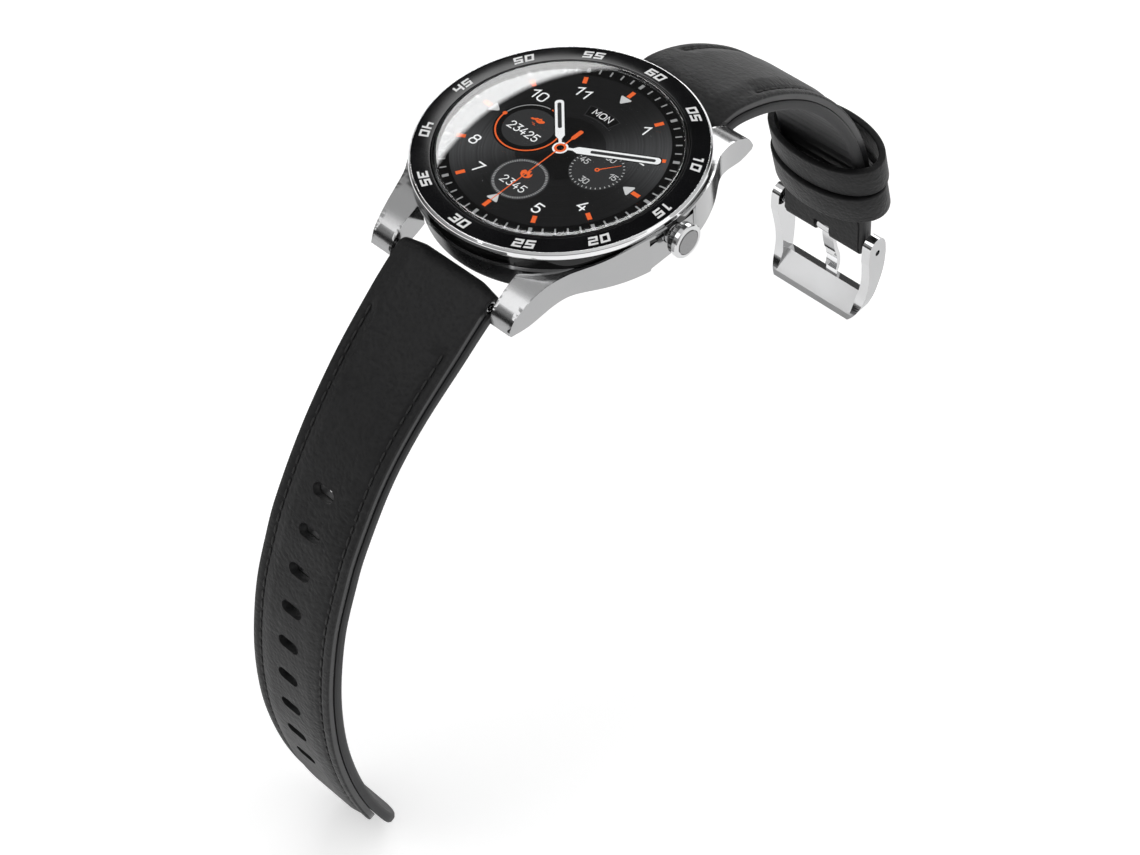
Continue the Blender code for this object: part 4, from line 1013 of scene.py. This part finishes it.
# ================================================================ lower housing and rear
housing = lathe("housing_lower", soften(lifted([
    (HOUSING_R - 0.3, FLANGE_Z - FLANGE_T - 0.1), (HOUSING_R, -3.6), (HOUSING_R, -7.5),
    (HOUSING_R - 0.9, HOUSING_FLOOR), (REAR_R + GAP, HOUSING_FLOOR),
    (REAR_R + GAP, HOUSING_FLOOR + 0.75), (SCREW_AT - 1.9, HOUSING_FLOOR + 0.75),
    (SCREW_AT - 1.9, HOUSING_FLOOR + 1.35), (BOARD_R + 0.7, HOUSING_FLOOR + 1.35),
    (BOARD_R + 0.7, FLANGE_Z - FLANGE_T - 0.1)]), 0.25, 4), HOUSING, 240)
bore(housing, "tube_bore", TUBE_R + FIT, 15, 30, 48, CROWN_AXIS)
rear = lathe("rear_plate", soften(lifted([
    (REAR_R - 2.2, HOUSING_FLOOR + 0.5), (REAR_R - 2.2, HOUSING_FLOOR + 0.05),
    (REAR_R - 1.2, HOUSING_FLOOR + 0.05), (REAR_R - 1.2, HOUSING_FLOOR + 0.5),
    (REAR_R, HOUSING_FLOOR + 0.5), (REAR_R, REAR_Z + 0.35), (REAR_R - 0.5, REAR_Z),
    (PLATEAU_R + 0.6, REAR_Z), (PLATEAU_R, PLATEAU_Z), (WINDOW_R + GAP, PLATEAU_Z),
    (WINDOW_R + GAP, PLATEAU_Z + 0.55), (8.6, PLATEAU_Z + 0.55), (8.6, HOUSING_FLOOR + 0.4)]),
    0.12, 3), BACK, 240)
for k in range(4):
    a = math.radians(45 + 90 * k)
    at = (SCREW_AT * math.cos(a), SCREW_AT * math.sin(a), 0)
    for body in (rear, housing):
        boolean(body, lathe("screw_hole", lifted([
            (0, HOUSING_FLOOR + 1.12), (0.62, HOUSING_FLOOR + 1.12), (0.62, REAR_Z + 0.5),
            (SCREW_R + FIT, REAR_Z + 0.5), (SCREW_R + FIT, REAR_Z - 2), (0, REAR_Z - 2)]),
            None, 48, "Z", at))
for x in (-CONTACT_X, CONTACT_X):
    boolean(rear, disc("contact_hole", 1.3, z_of(-11), z_of(-7), None, 48, "Z",
                       (x, CONTACT_Y, 0)))
bake_modifiers(housing)
bake_modifiers(rear)
place(housing, "case", "black_plastic", "lower_housing")
place(rear, "case", "black_plastic", "rear_cover")
window = disc("rear_lens", WINDOW_R, z_of(-DIAL_Z), z_of(PLATEAU_Z + 0.5), LENS, 160, ease=0.2)
place(window, "case", "dark_lens", "sensor_window")
for k, x in enumerate((-CONTACT_X, CONTACT_X)):
    pad = lathe("contact_pad_%d" % (k + 1), soften(lifted([
        (0, HOUSING_FLOOR + 0.7), (1.12, HOUSING_FLOOR + 0.7), (1.12, PLATEAU_Z + 0.05),
        (0.9, PLATEAU_Z - 0.08), (0, PLATEAU_Z - 0.08)]),
        0.08, 3, False), GOLD, 64, "Z", (x, CONTACT_Y, 0))
    place(pad, "case", "gold_plate", "charge_contact_%d" % (k + 1))

# ================================================================ crown
def knurl(a, r, h):
    """Deep straight knurling on the inner, dark part of the crown."""
    if r > CROWN_R - 0.30 and h < CROWN_OUT - 1.05:
        return -0.26 * max(0.0, math.cos(20 * a)) ** 0.6
    return 0.0


knob_profile = [(0, CROWN_OUT - 0.34), (1.98, CROWN_OUT - 0.34), (2.02, CROWN_OUT - 0.04),
                (2.12, CROWN_OUT), (CROWN_R - 0.34, CROWN_OUT), (CROWN_R - 0.12, CROWN_OUT - 0.08),
                (CROWN_R, CROWN_OUT - 0.30), (CROWN_R, CROWN_OUT - 0.92),
                (CROWN_R - 0.08, CROWN_OUT - 1.02), (CROWN_R - 0.18, CROWN_OUT - 1.08),
                (CROWN_R - 0.2, CROWN_OUT - 1.12), (CROWN_R - 0.2, CROWN_IN + 0.25),
                (CROWN_R - 0.45, CROWN_IN), (STEM_R + FIT, CROWN_IN), (STEM_R + FIT, KNOB_FLOOR),
                (0, KNOB_FLOOR)]
knob = lathe("crown_knob_turned", knob_profile, STEEL, 320, "X", CROWN_AXIS, knurl, 28,
             [STEEL, KNURL], lambda i: 1 if 9 <= i <= 13 else 0)
place(knob, "crown_knob", "polished_steel", "crown_knob")
cap = disc("crown_disc", 1.9, CROWN_OUT - 0.23, CROWN_OUT + 0.05, CAP_SHADE_STEEL, 96, "X", CROWN_AXIS, 0.1)
place(cap, "crown_knob", "tinned_steel", "crown_cap")
tube = lathe("crown_sleeve", soften([
    (TUBE_R, 22.5), (TUBE_R, 20.4), (STEM_R + 0.15, 20.4), (STEM_R + 0.15, 21.3),
    (1.25, 21.3), (1.25, 22.5)], 0.06, 2), STEEL, 96, "X", CROWN_AXIS)
place(tube, "case", "polished_steel", "crown_tube")
stem = lathe("crown_shaft", soften([
    (0, 24.2), (STEM_R, 24.2), (STEM_R, 19.45), (0.4, 19.45), (0.4, 19.1), (STEM_R, 19.1),
    (STEM_R, 18.3), (0, 18.3)], 0.05, 2, False), STEEL, 48, "X", CROWN_AXIS)
place(stem, "crown_stem", "polished_steel", "crown_stem")

# ================================================================ spring bars
for name, sign in (("lower", -1), ("upper", 1)):
    at = (0, sign * BAR_Y, z_of(BAR_Z))
    bore_r, depth = TIP_R + 0.2, 4.0
    bar_tube = lathe("bar_tube_%s" % name, soften([
        (0, BAR_HALF - depth), (bore_r, BAR_HALF - depth), (bore_r, BAR_HALF),
        (BAR_R + 0.2, BAR_HALF), (BAR_R + 0.2, -BAR_HALF), (bore_r, -BAR_HALF),
        (bore_r, -BAR_HALF + depth), (0, -BAR_HALF + depth)],
        0.06, 2, False), STEEL, 48, "X", at)
    place(bar_tube, "case", "polished_steel", "spring_bar_%s" % name)
    for end, axis in (("right", "X"), ("left", "-X")):
        tip = lathe("tip_%s_%s" % (name, end), soften([
            (0, LUG_GAP + 1.0), (TIP_R - 0.1, LUG_GAP + 1.0), (TIP_R, LUG_GAP + 0.85),
            (TIP_R, 7.0), (0, 7.0)], 0.06, 2, False), STEEL, 40, axis, at)
        place(tip, "tip_%s_%s" % (name, end), "polished_steel", "bar_tip_%s_%s" % (name, end))

# ================================================================ strap
WRAP_R = 1.8             # outer face of the leather round its spring bar
ROUND = 0.30             # edge rounding of the leather


def half_width(s):
    return HALF_LUG + (HALF_TAIL - HALF_LUG) * ease((s - 4.0) / 30.0)


def swell(s):
    return max(0.0, min(1.0, 1 - s / 22.0))


def leather_back(s):
    return LEATHER_T + 0.15 * swell(s)


def silicone_back(s):
    return LEATHER_T + SEAM + SILICONE_T + 0.55 * swell(s)


def tip_factor(left, tip):
    if left >= tip:
        return 1.0
    return math.sqrt(max(0.0, 1 - (0.93 * (1 - left / tip)) ** 2.6))


def loft(name, rings, mats, picks=None):
    """Closed solid through rings of equal length; rings hold (x, y, z) in mm."""
    bm = bmesh.new()
    rows = [[bm.verts.new(Vector(p) * MM) for p in ring] for ring in rings]
    n = len(rows[0])
    for a, b in zip(rows, rows[1:]):
        for i in range(n):
            j = (i + 1) % n
            f = bm.faces.new((a[i], a[j], b[j], b[i]))
            if picks:
                f.material_index = picks[i]
    bm.faces.new(rows[0])
    bm.faces.new(rows[-1])
    return finish_mesh(name, bm, None, 38, mats)


def pad_height(e, s, end_gap, swell_up):
    """Height of the leather face over its nominal face at e mm from the side edge."""
    sewn = ease((s - 8.6) / 2.2)
    if end_gap is not None:
        e = min(e, end_gap) if end_gap < 6 else e
    shoulder = ease((e - 1.9) / 2.6)
    plain = ease(e / 4.2)
    pad = swell_up * (shoulder * sewn + plain * (1 - sewn))
    channel = math.exp(-((e - 1.75) / 0.42) ** 2) * 0.34 * sewn
    rim = -0.10 * (1 - ease(e / 0.9))
    return pad - channel + rim


def leather_rings(path, sign, shift, end, tip, bulge, back):
    """Rings of a leather layer.  path is a smooth line, shift its length before the lug."""
    across = 72
    rings = []
    for p, n, run in path:
        s = run - shift
        if s > end + 1e-6:
            continue
        w = (half_width(s) - 0.35)
        left = None
        if tip:
            left = end - s
            w *= tip_factor(left, tip)
        if end - s < 0.5 and tip:
            w *= 1 - 0.03 * (1 - (end - s) / 0.5)
        di = back(s)
        edge = min(ROUND, 0.4 * di)
        ring = []
        for k in range(across + 1):
            t = -1 + 2 * k / across
            x = w * (math.sin(t * math.pi / 2) * 0.35 + t * 0.65)
            e = w - abs(x)
            h = pad_height(e, s, left if tip else None, bulge(s))
            if e < edge:
                h -= edge - math.sqrt(max(0.0, edge ** 2 - (edge - e) ** 2))
            ring.append((x, -min(h, edge + 2.0)))
        low_edge = -ring[-1][1]
        wall = [(w, -low_edge + (di + low_edge) * f) for f in (0.25, 0.55, 0.85)]
        ring += wall + [(w - 0.05, di)]
        ring += [(w * (1 - 2 * k / 8), di) for k in range(1, 8)]
        ring += [(-w + 0.05, di)] + [(-x, d) for x, d in reversed(wall)]
        rings.append([(x, sign * (p - n * d).x, z_of((p - n * d).y)) for x, d in ring])
    return rings, [0 if i < across else 1 for i in range(len(rings[0]))]


def silicone_rings(path, sign, end, tip):
    """Rings of the silicone layer: side with a small step and chamfer, ribbed inner face."""
    rings = []
    for p, n, s in path:
        w = half_width(s)
        if tip:
            w *= tip_factor(end - s, tip)
            if end - s < 0.8:
                w *= 1 - 0.05 * (1 - (end - s) / 0.8)
        do, di = leather_back(s) + SEAM, silicone_back(s)
        phase = (s % 2.5) / 2.5
        rib = 0.22 * max(0.0, 1 - abs(phase - 0.5) / 0.20) if 6 < s < end - 4 else 0.0
        cross = [(-w + 0.05, do + 0.22), (-w + 0.25, do)]
        cross += [(x * (w - 0.25), do) for x in (-0.5, 0.0, 0.5)]
        cross += [(w - 0.25, do), (w - 0.05, do + 0.22), (w, do + 0.34), (w, di - 0.62),
                  (w - 0.06, di - 0.46), (w - 0.42, di - 0.08), (w - 0.60, di), (w - 1.3, di),
                  (w - 1.55, di - rib)]
        cross += [(x * (w - 1.55), di - rib) for x in (0.6, 0.2, -0.2, -0.6)]
        cross += [(-w + 1.55, di - rib), (-w + 1.3, di), (-w + 0.60, di), (-w + 0.42, di - 0.08),
                  (-w + 0.06, di - 0.46), (-w, di - 0.62), (-w, do + 0.34)]
        rings.append([(x, sign * (p - n * d).x, z_of((p - n * d).y)) for x, d in cross])
    return rings


def wrap_path(line, last_angle, skip):
    """The outer face from under the spring bar, round it, and on along the strap."""
    points = [(BAR_Y + WRAP_R * math.cos(math.radians(a)),
               BAR_Z + WRAP_R * math.sin(math.radians(a)))
              for a in range(250, last_angle - 1, -16)]
    return points + [p for p in line if p[0] > skip]


def stitches(name, path, sign, shift, end, tip, bulge, start=10.2, stop=None, pitch=2.05):
    """Separate thread stitches lying in the channels, one capsule each."""
    bm = bmesh.new()

    def at(s, side):
        i = min(range(len(path)), key=lambda q: abs(path[q][2] - shift - s))
        p, n, _ = path[i]
        w = (half_width(s) - 0.35) * (tip_factor(end - s, tip) if tip else 1.0)
        h = pad_height(1.75, s, None, bulge(s)) + 0.13
        q = p + n * h
        return Vector((side * (w - 1.75), sign * q.x, z_of(q.y)))
    s = start
    stop = stop or end
    while s + pitch * 0.7 < stop:
        for side in (-1, 1):
            a, m, b = at(s, side), at(s + pitch * 0.39, side), at(s + pitch * 0.78, side)
            axis = (b - a).normalized()
            cross = axis.cross(Vector((1, 0, 0))).normalized()
            out = Vector((1, 0, 0))
            rows = []
            steps = 7
            for k in range(steps + 1):
                t = k / steps
                c = a * (1 - t) ** 2 + m * 2 * t * (1 - t) + b * t * t
                r = 0.215 * math.sqrt(max(0.02, 1 - (2 * t - 1) ** 4))
                rows.append([bm.verts.new((c + (out * math.cos(u) + cross * math.sin(u)) * r)
                                          * MM) for u in [2 * math.pi * q / 8 for q in range(8)]])
            for ra, rb in zip(rows, rows[1:]):
                for i in range(8):
                    bm.faces.new((ra[i], ra[(i + 1) % 8], rb[(i + 1) % 8], rb[i]))
            bm.faces.new(rows[0])
            bm.faces.new(rows[-1])
        s += pitch
    return finish_mesh(name, bm, THREAD, 60)


long_path = smooth_line(wrap_path(LONG_LINE, 58, 26.0), 0.42)
short_path = smooth_line(wrap_path(SHORT_LINE, 90, 25.5), 0.42)
long_line, short_line = smooth_line(LONG_LINE, 0.5), smooth_line(SHORT_LINE, 0.5)
LONG_TOTAL, SHORT_TOTAL = long_line[-1][2], short_line[-1][2]
LONG_SHIFT = long_path[-1][2] - LONG_TOTAL
SHORT_SHIFT = short_path[-1][2] - SHORT_TOTAL
WRAP_T = 0.27


def wrapped_back(s):
    """Leather depth: thin round the bar, full once it lies on the silicone."""
    return WRAP_T + (leather_back(s) - WRAP_T) * ease((s + 0.3) / 1.6)


def long_bulge(s):
    return 0.30 + 0.30 * ease(1 - (s - 4) / 24.0)


def short_bulge(s):
    return 0.28 + 0.32 * ease(1 - (s - 4) / 24.0)


LEATHER_END = LONG_TOTAL - 7.0
rings, picks = leather_rings(long_path, -1, LONG_SHIFT, LEATHER_END, 8.0, long_bulge,
                             wrapped_back)
leather_long = loft("leather_face_long", rings, [LEATHER, EDGE_PAINT], picks)
rings, picks = leather_rings(short_path, 1, SHORT_SHIFT, SHORT_TOTAL, 0, short_bulge,
                             wrapped_back)
leather_short = loft("leather_face_short", rings, [LEATHER, EDGE_PAINT], picks)
base_long = loft("silicone_base_long", silicone_rings(long_line, -1, LONG_TOTAL, 11.0),
                 [SILICONE])
base_short = loft("silicone_base_short", silicone_rings(short_line, 1, SHORT_TOTAL, 0),
                  [SILICONE])
for base, skin, sign in ((base_long, leather_long, -1), (base_short, leather_short, 1)):
    at = (0, sign * BAR_Y, z_of(BAR_Z))
    bore(base, "eye", WRAP_R - WRAP_T - 0.03, -HALF_LUG + 0.3, HALF_LUG - 0.3, 64, at, "UNION")
    bore(base, "bore", BAR_R + 0.3, -20, 20, 48, at)
    bore(skin, "relief", WRAP_R - WRAP_T - 0.01, -20, 20, 64, at)
pin_at = (0, PIN_Y, z_of(PIN_Z))
bore(leather_short, "pin_relief", 1.52, -20, 20, 64, pin_at)
bore(base_short, "pin_eye", 1.5, -HALF_TAIL + 0.3, HALF_TAIL - 0.3, 64, pin_at, "UNION")
bore(base_short, "pin_bore", PIN_R + 0.25, -20, 20, 48, pin_at)
for piece in (leather_short, base_short):
    boolean(piece, box("tongue_slot", (-SLOT_HALF, PIN_Y - 6, z_of(PIN_Z - 4)),
                       (SLOT_HALF, PIN_Y + 6, z_of(PIN_Z + 4.2)), None))


def oval(half_long, r, n=14):
    pts = []
    for side in (1, -1):
        for i in range(n + 1):
            a = -math.pi / 2 + math.pi * i / n + (0 if side > 0 else math.pi)
            pts.append((side * (half_long - r) + r * math.cos(a), r * math.sin(a)))
    return pts


def strap_cutter(s, half_long, half_wide, lo, hi):
    """Oval cutter square to the long strap at distance s."""
    i = min(range(len(long_line)), key=lambda j: abs(long_line[j][2] - s))
    p, n, near = long_line[i]
    t = Vector((n.y, -n.x))
    c = p + t * (s - near)
    cut = prism("strap_hole", oval(half_long, half_wide), lo, hi, None)
    x = Vector((1, 0, 0))
    normal = Vector((0, -n.x, n.y))
    along = normal.cross(x)
    m = Matrix((x, along, normal)).transposed()
    cut.matrix_world = (Matrix.Translation(Vector((0, -c.x, z_of(c.y))) * MM) @ m.to_4x4())
    return cut


for k in range(HOLE_COUNT):
    s = HOLE_FIRST + HOLE_PITCH * k
    boolean(leather_long, strap_cutter(s, HOLE_LONG / 2, HOLE_WIDE / 2, -6.0, 3.0))
    boolean(base_long, strap_cutter(s, HOLE_LONG / 2 - 0.08, HOLE_WIDE / 2 - 0.08, -6.0, 3.0))
for piece in (leather_long, leather_short, base_long, base_short):
    bake_modifiers(piece, 38)
place(leather_long, "strap_long", "black_leather", "leather_long")
place(leather_short, "strap_short", "black_leather", "leather_short")
place(base_long, "strap_long", "black_silicone", "silicone_long")
place(base_short, "strap_short", "black_silicone", "silicone_short")
place(stitches("stitches_long", long_path, -1, LONG_SHIFT, LEATHER_END, 8.0, long_bulge,
               stop=LEATHER_END - 2.6), "strap_long", "black_leather")
place(stitches("stitches_short", short_path, 1, SHORT_SHIFT, SHORT_TOTAL, 0, short_bulge,
               stop=SHORT_TOTAL - 4.0), "strap_short", "black_leather")

# folded tab round the buckle pin: rounded corners on the inner face, a slot for the tongue
TAB_R, TAB_T, TAB_TOP, TAB_CORNER = 1.78, 0.26, 8.6, 3.2
face_y = SHORT_LINE[-1][0] - silicone_back(SHORT_TOTAL) - 0.02
tab_points = [(face_y - 0.26 + 0.10, PIN_Z + TAB_TOP), (face_y - 0.26 + 0.02, PIN_Z + 4.0)]
tab_points += [(PIN_Y + TAB_R * math.cos(math.radians(a)),
                PIN_Z + TAB_R * math.sin(math.radians(a))) for a in range(184, 345, 16)]
tab_line = smooth_line(tab_points, 0.3)
rings = []
for p, n, s in tab_line:
    half = HALF_TAIL - 0.75
    if s < TAB_CORNER:
        half -= TAB_CORNER - math.sqrt(max(0.0, TAB_CORNER ** 2 - (TAB_CORNER - s) ** 2))
    ring = [(-half + 0.08, 0.0), (half - 0.08, 0.0), (half, 0.08), (half, TAB_T - 0.03),
            (half - 0.03, TAB_T), (-half + 0.03, TAB_T), (-half, TAB_T - 0.03), (-half, 0.08)]
    rings.append([(x, (p + n * d).x, z_of((p + n * d).y)) for x, d in ring])
tab = loft("buckle_tab", rings, [TAB_SHADED])
boolean(tab, box("tab_slot", (-SLOT_HALF, PIN_Y - 6, z_of(PIN_Z - 4)),
                 (SLOT_HALF, PIN_Y + 6, z_of(PIN_Z + 1.6)), None))
bake_modifiers(tab, 38)
place(tab, "strap_short", "black_leather")

# ================================================================ keepers
for name, (ky, kz) in KEEPER_AT.items():
    section = []
    r = 0.32
    for cx, cy, start in ((KEEPER_T - r, KEEPER_W / 2 - r, 0), (r, KEEPER_W / 2 - r, 90),
                          (r, -KEEPER_W / 2 + r, 180), (KEEPER_T - r, -KEEPER_W / 2 + r, 270)):
        for k in range(6):
            a = math.radians(start + 90 * k / 5)
            section.append((cx + r * math.cos(a), cy + r * math.sin(a)))
    bm = bmesh.new()
    seg = 144
    rows = []
    for i in range(seg):
        a = 2 * math.pi * i / seg
        c, s = math.cos(a), math.sin(a)
        normal = Vector((c * KEEPER_B, s * KEEPER_A)).normalized()
        base = Vector((KEEPER_A * c, KEEPER_B * s))
        row = []
        for t, h in section:
            crown = 0.06 * (1 - (2 * h / KEEPER_W) ** 2) if t > KEEPER_T / 2 else 0.0
            q = base + normal * (t + crown)
            row.append(bm.verts.new((q.x * MM, q.y * MM, h * MM)))
        rows.append(row)
    for i in range(seg):
        a, b = rows[i], rows[(i + 1) % seg]
        for k in range(len(section)):
            j = (k + 1) % len(section)
            bm.faces.new((a[k], b[k], b[j], a[j]))
    loop = finish_mesh(name + "_loop", bm, KEEPER_SHADED_LEATHER, 40)
    loop.data.transform(Matrix.Translation((0, ky * MM, z_of(kz) * MM))
                        @ Matrix.Rotation(KEEPER_TILT, 4, "X"))
    place(loop, "strap_short" if name == "keeper_fixed" else "keeper_free", "black_leather",
          name)

# ================================================================ buckle
pin = lathe("pin_turned", soften([
    (0, ARM_OUT - 0.9), (0.42, ARM_OUT - 0.9), (0.42, ARM_IN - 0.25), (PIN_R, ARM_IN - 0.25),
    (PIN_R, -ARM_IN + 0.25), (0.42, -ARM_IN + 0.25), (0.42, -ARM_OUT + 0.9),
    (0, -ARM_OUT + 0.9)], 0.06, 2, False), STEEL, 64, "X", pin_at)
place(pin, "buckle", "polished_steel", "buckle_pin")
ARM_BACK = [(58.75, -60.0), (59.0, -58.4), (60.1, -57.4), (61.5, -57.35), (62.7, -58.4),
            (63.15, -60.5), (63.1, -65.0), (62.3, -69.2), (61.1, -72.0), (59.3, -74.4),
            (57.1, -75.9)]
ARM_FRONT = [(56.4, -75.3), (57.9, -73.2), (59.0, -70.6), (59.35, -67.5), (59.0, -64.0),
             (58.65, -61.8)]
outline = curve_outline(ARM_BACK, 0.45) + curve_outline(ARM_FRONT, 0.45)
buckle = prism("buckle_polished", [(y, z_of(z)) for y, z in outline], -ARM_OUT, ARM_OUT, STEEL,
               "YZ")
right_side = curve_outline([(ARM_OUT, -61.5), (10.95, -65.5), (10.55, -69.5), (10.25, -72.2),
                            (9.55, -74.2), (8.3, -75.5), (6.9, -76.1)], 0.4)
front = [(ARM_OUT, -50)] + right_side + [(-x, z) for x, z in reversed(right_side)] + [
    (-ARM_OUT, -50)]
boolean(buckle, prism("frame_outline", [(x, z_of(z)) for x, z in front], 40, 80, None, "XZ"),
        "INTERSECT")
inside = curve_outline([(ARM_IN, -62.5), (9.15, -66.0), (8.75, -69.6), (8.45, -71.3)], 0.5)
opening = [(ARM_IN, -40)] + inside + [(-x, z) for x, z in reversed(inside)] + [(-ARM_IN, -40)]
boolean(buckle, prism("frame_opening", [(x, z_of(z)) for x, z in opening], 40, 80, None, "XZ"))
thin = [(58.6, -71.0), (60.45, -71.35), (58.0, -73.6), (56.45, -75.0), (54.0, -76.0),
        (54.0, -68.0), (58.6, -68.0)]
boolean(buckle, prism("bar_inner", [(y, z_of(z)) for y, z in thin], -8.45, 8.45, None, "YZ"))
bore(buckle, "pin_hole", 0.56, -14, 14, 40, pin_at)
rounded_edges(buckle, 0.46, 5, 34)
buckle.data.materials.append(SATIN)
buckle.data.materials.append(PLATE)
for f in buckle.data.polygons:
    c = f.center
    if abs(f.normal.x) > 0.9 and abs(c.x) > 10.0 * MM:
        f.material_index = 1
    elif abs(c.x) < 8.6 * MM and f.normal.y < -0.3 and c.z < z_of(-70.5) * MM:
        f.material_index = 2
place(buckle, "buckle", "polished_steel", "buckle_frame")

strip_out = curve_outline([(61.35, -60.6), (62.05, -60.9), (61.75, -63.2), (62.2, -66.0),
                           (63.05, -69.0), (62.9, -71.6), (61.9, -73.1)], 0.3)
strip_in = curve_outline([(61.35, -72.7), (62.1, -71.3), (62.2, -69.2), (61.4, -66.3),
                          (60.95, -63.4)], 0.3)
tongue = disc("tongue_polished", PIN_R + 0.75, -TONGUE_HALF, TONGUE_HALF, STEEL, 96, "X", pin_at)
boolean(tongue, prism("strip", [(y, z_of(z)) for y, z in strip_out + strip_in],
                      -TONGUE_HALF + 0.1, TONGUE_HALF - 0.1, None, "YZ"), "UNION")
bore(tongue, "bore", PIN_R + 0.15, -6, 6, 64, pin_at)
rounded_edges(tongue, 0.12, 2, 34)
place(tongue, "tongue", "polished_steel", "buckle_tongue")

# ================================================================ CAD pieces that stay
KEPT = {
    "display_tape": RUBBER, "rear_seal": RUBBER, "crown_seal": RUBBER, "sensor_board": BOARD,
    "main_board": BOARD, "display_flex": BOARD, "inner_chassis": HOUSING, "crown_switch": HOUSING,
    "shield_can_1": TIN, "shield_can_2": TIN, "vibration_motor": TIN, "battery": CELL,
    "crown_clip": STEEL, "case_screw_1": STEEL, "case_screw_2": STEEL, "case_screw_3": STEEL,
    "case_screw_4": STEEL,
}
for name, mat in KEPT.items():
    ob = NODES[name]
    if ob.data.materials:
        for i in range(len(ob.data.materials)):
            ob.data.materials[i] = mat
    else:
        ob.data.materials.append(mat)

# ================================================================ stage
low = min(CAD_BOX[0][2], CAD_BOX[1][2])
floor_bm = bmesh.new()
bmesh.ops.create_grid(floor_bm, x_segments=2, y_segments=2, size=3.0)
bmesh.ops.translate(floor_bm, vec=(0, 0, low - 0.0006), verts=floor_bm.verts)
floor_net = Net("floor_look", Specular_IOR_Level=0.1, Emission_Color=(1.0, 1.0, 1.0, 1.0),
                Emission_Strength=0.38)
floor_net.plug("Base Color", floor_net.ramp(floor_net.noise(3.0, 2.0), [
    (0.3, (0.90, 0.90, 0.90)), (0.7, (0.93, 0.93, 0.93))]))
floor_net.plug("Roughness", floor_net.span(floor_net.noise(8.0), 0.3, 0.7, 0.75, 0.85))
floor = finish_mesh("studio_floor", floor_bm, floor_net.mat)


# directions in the world, set for the reflections that the camera above sees
SOFTBOX_AXIS = (-0.5078, 0.4814, 0.7144)
GLOW_AXIS = (-0.575, 0.50, 0.648)
STRIP_AXIS = (-0.493, 0.787, 0.356)


def build_world():
    """Soft white studio: bright overhead, darker bands near the horizon for the steel, the
    curved edge of one large softbox that shows in the flat glass, and a low strip light."""
    world = bpy.data.worlds.new("studio")
    scene.world = world
    world.use_nodes = True
    tree = world.node_tree
    background = tree.nodes["Background"]

    def add(kind, inputs, **props):
        n = tree.nodes.new(kind)
        for key, value in props.items():
            setattr(n, key, value)
        for key, value in inputs.items():
            if isinstance(value, bpy.types.NodeSocket):
                tree.links.new(value, n.inputs[key])
            else:
                n.inputs[key].default_value = value
        return n.outputs["Value" if props.get("operation") == "DOT_PRODUCT" else 0]

    def span(value, a, b, lo, hi):
        return add("ShaderNodeMapRange", {"Value": value, "From Min": a, "From Max": b,
                                          "To Min": lo, "To Max": hi},
                   interpolation_type="SMOOTHSTEP")

    def calc(how, a, b=0.0):
        return add("ShaderNodeMath", {0: a, 1: b}, operation=how)
    direction = tree.nodes.new("ShaderNodeTexCoord").outputs["Generated"]
    split = tree.nodes.new("ShaderNodeSeparateXYZ")
    tree.links.new(direction, split.inputs[0])
    x, y, z = split.outputs
    azimuth = calc("ARCTAN2", y, x)
    low_band = calc("MULTIPLY", span(z, 0.0, 0.06, 0.0, 1.0), span(z, 0.16, 0.42, 1.0, 0.0))
    stripe = span(calc("COSINE", calc("MULTIPLY", calc("ADD", azimuth, 0.35), 3.0)),
                  -0.15, 0.35, 0.0, 1.0)
    dark = calc("MULTIPLY", low_band, calc("MULTIPLY", stripe, 0.93))
    broad = span(calc("COSINE", calc("SUBTRACT", azimuth, 0.9)), -0.6, 0.9, 0.34, 0.62)
    sky = calc("ADD", broad, span(z, 0.45, 0.95, 0.0, 0.45))
    sky = calc("MULTIPLY", sky, calc("SUBTRACT", 1.0, dark))
    # softbox edge: bright outside a cone, seen by reflection in the glass
    cone = add("ShaderNodeVectorMath", {0: direction, 1: SOFTBOX_AXIS},
               operation="DOT_PRODUCT")
    toward = add("ShaderNodeVectorMath", {0: direction, 1: GLOW_AXIS},
                 operation="DOT_PRODUCT")
    outside = span(cone, math.cos(math.radians(4.95)), math.cos(math.radians(4.80)), 1.0, 0.0)
    near = span(toward, math.cos(math.radians(4.6)), math.cos(math.radians(3.4)), 0.0, 1.0)
    glow = calc("MULTIPLY", calc("MULTIPLY", outside, near), 8.0)
    # a strip light low behind the object gives the sheen along the top of the strap
    behind = add("ShaderNodeVectorMath", {0: direction, 1: STRIP_AXIS},
                 operation="DOT_PRODUCT")
    strip = span(behind, math.cos(math.radians(17)), math.cos(math.radians(8)), 0.0, 4.0)
    # a dark card beside it keeps the rest of the glass black
    card = span(toward, math.cos(math.radians(26)), math.cos(math.radians(16)), 1.0, 0.10)
    total = calc("ADD", calc("ADD", calc("MULTIPLY", sky, card), strip), glow)
    tree.links.new(total, background.inputs["Strength"])
    background.inputs["Color"].default_value = (1.0, 1.0, 1.0, 1.0)


build_world()


def area(name, at, aim, size, watts, size_y=None):
    data = bpy.data.lights.new(name, "AREA")
    data.shape = "RECTANGLE" if size_y else "SQUARE"
    data.size = size
    if size_y:
        data.size_y = size_y
    data.energy = watts
    ob = bpy.data.objects.new(name, data)
    scene.collection.objects.link(ob)
    at, aim = Vector(at), Vector(aim)
    ob.location = at
    ob.rotation_euler = (at - aim).to_track_quat("Z", "Y").to_euler()


area("key", (-0.35, -0.55, 0.75), (0, 0, -0.02), 0.5, 1.3)
area("fill", (0.8, 0.25, 0.35), (0, 0.03, -0.03), 0.45, 0.5)
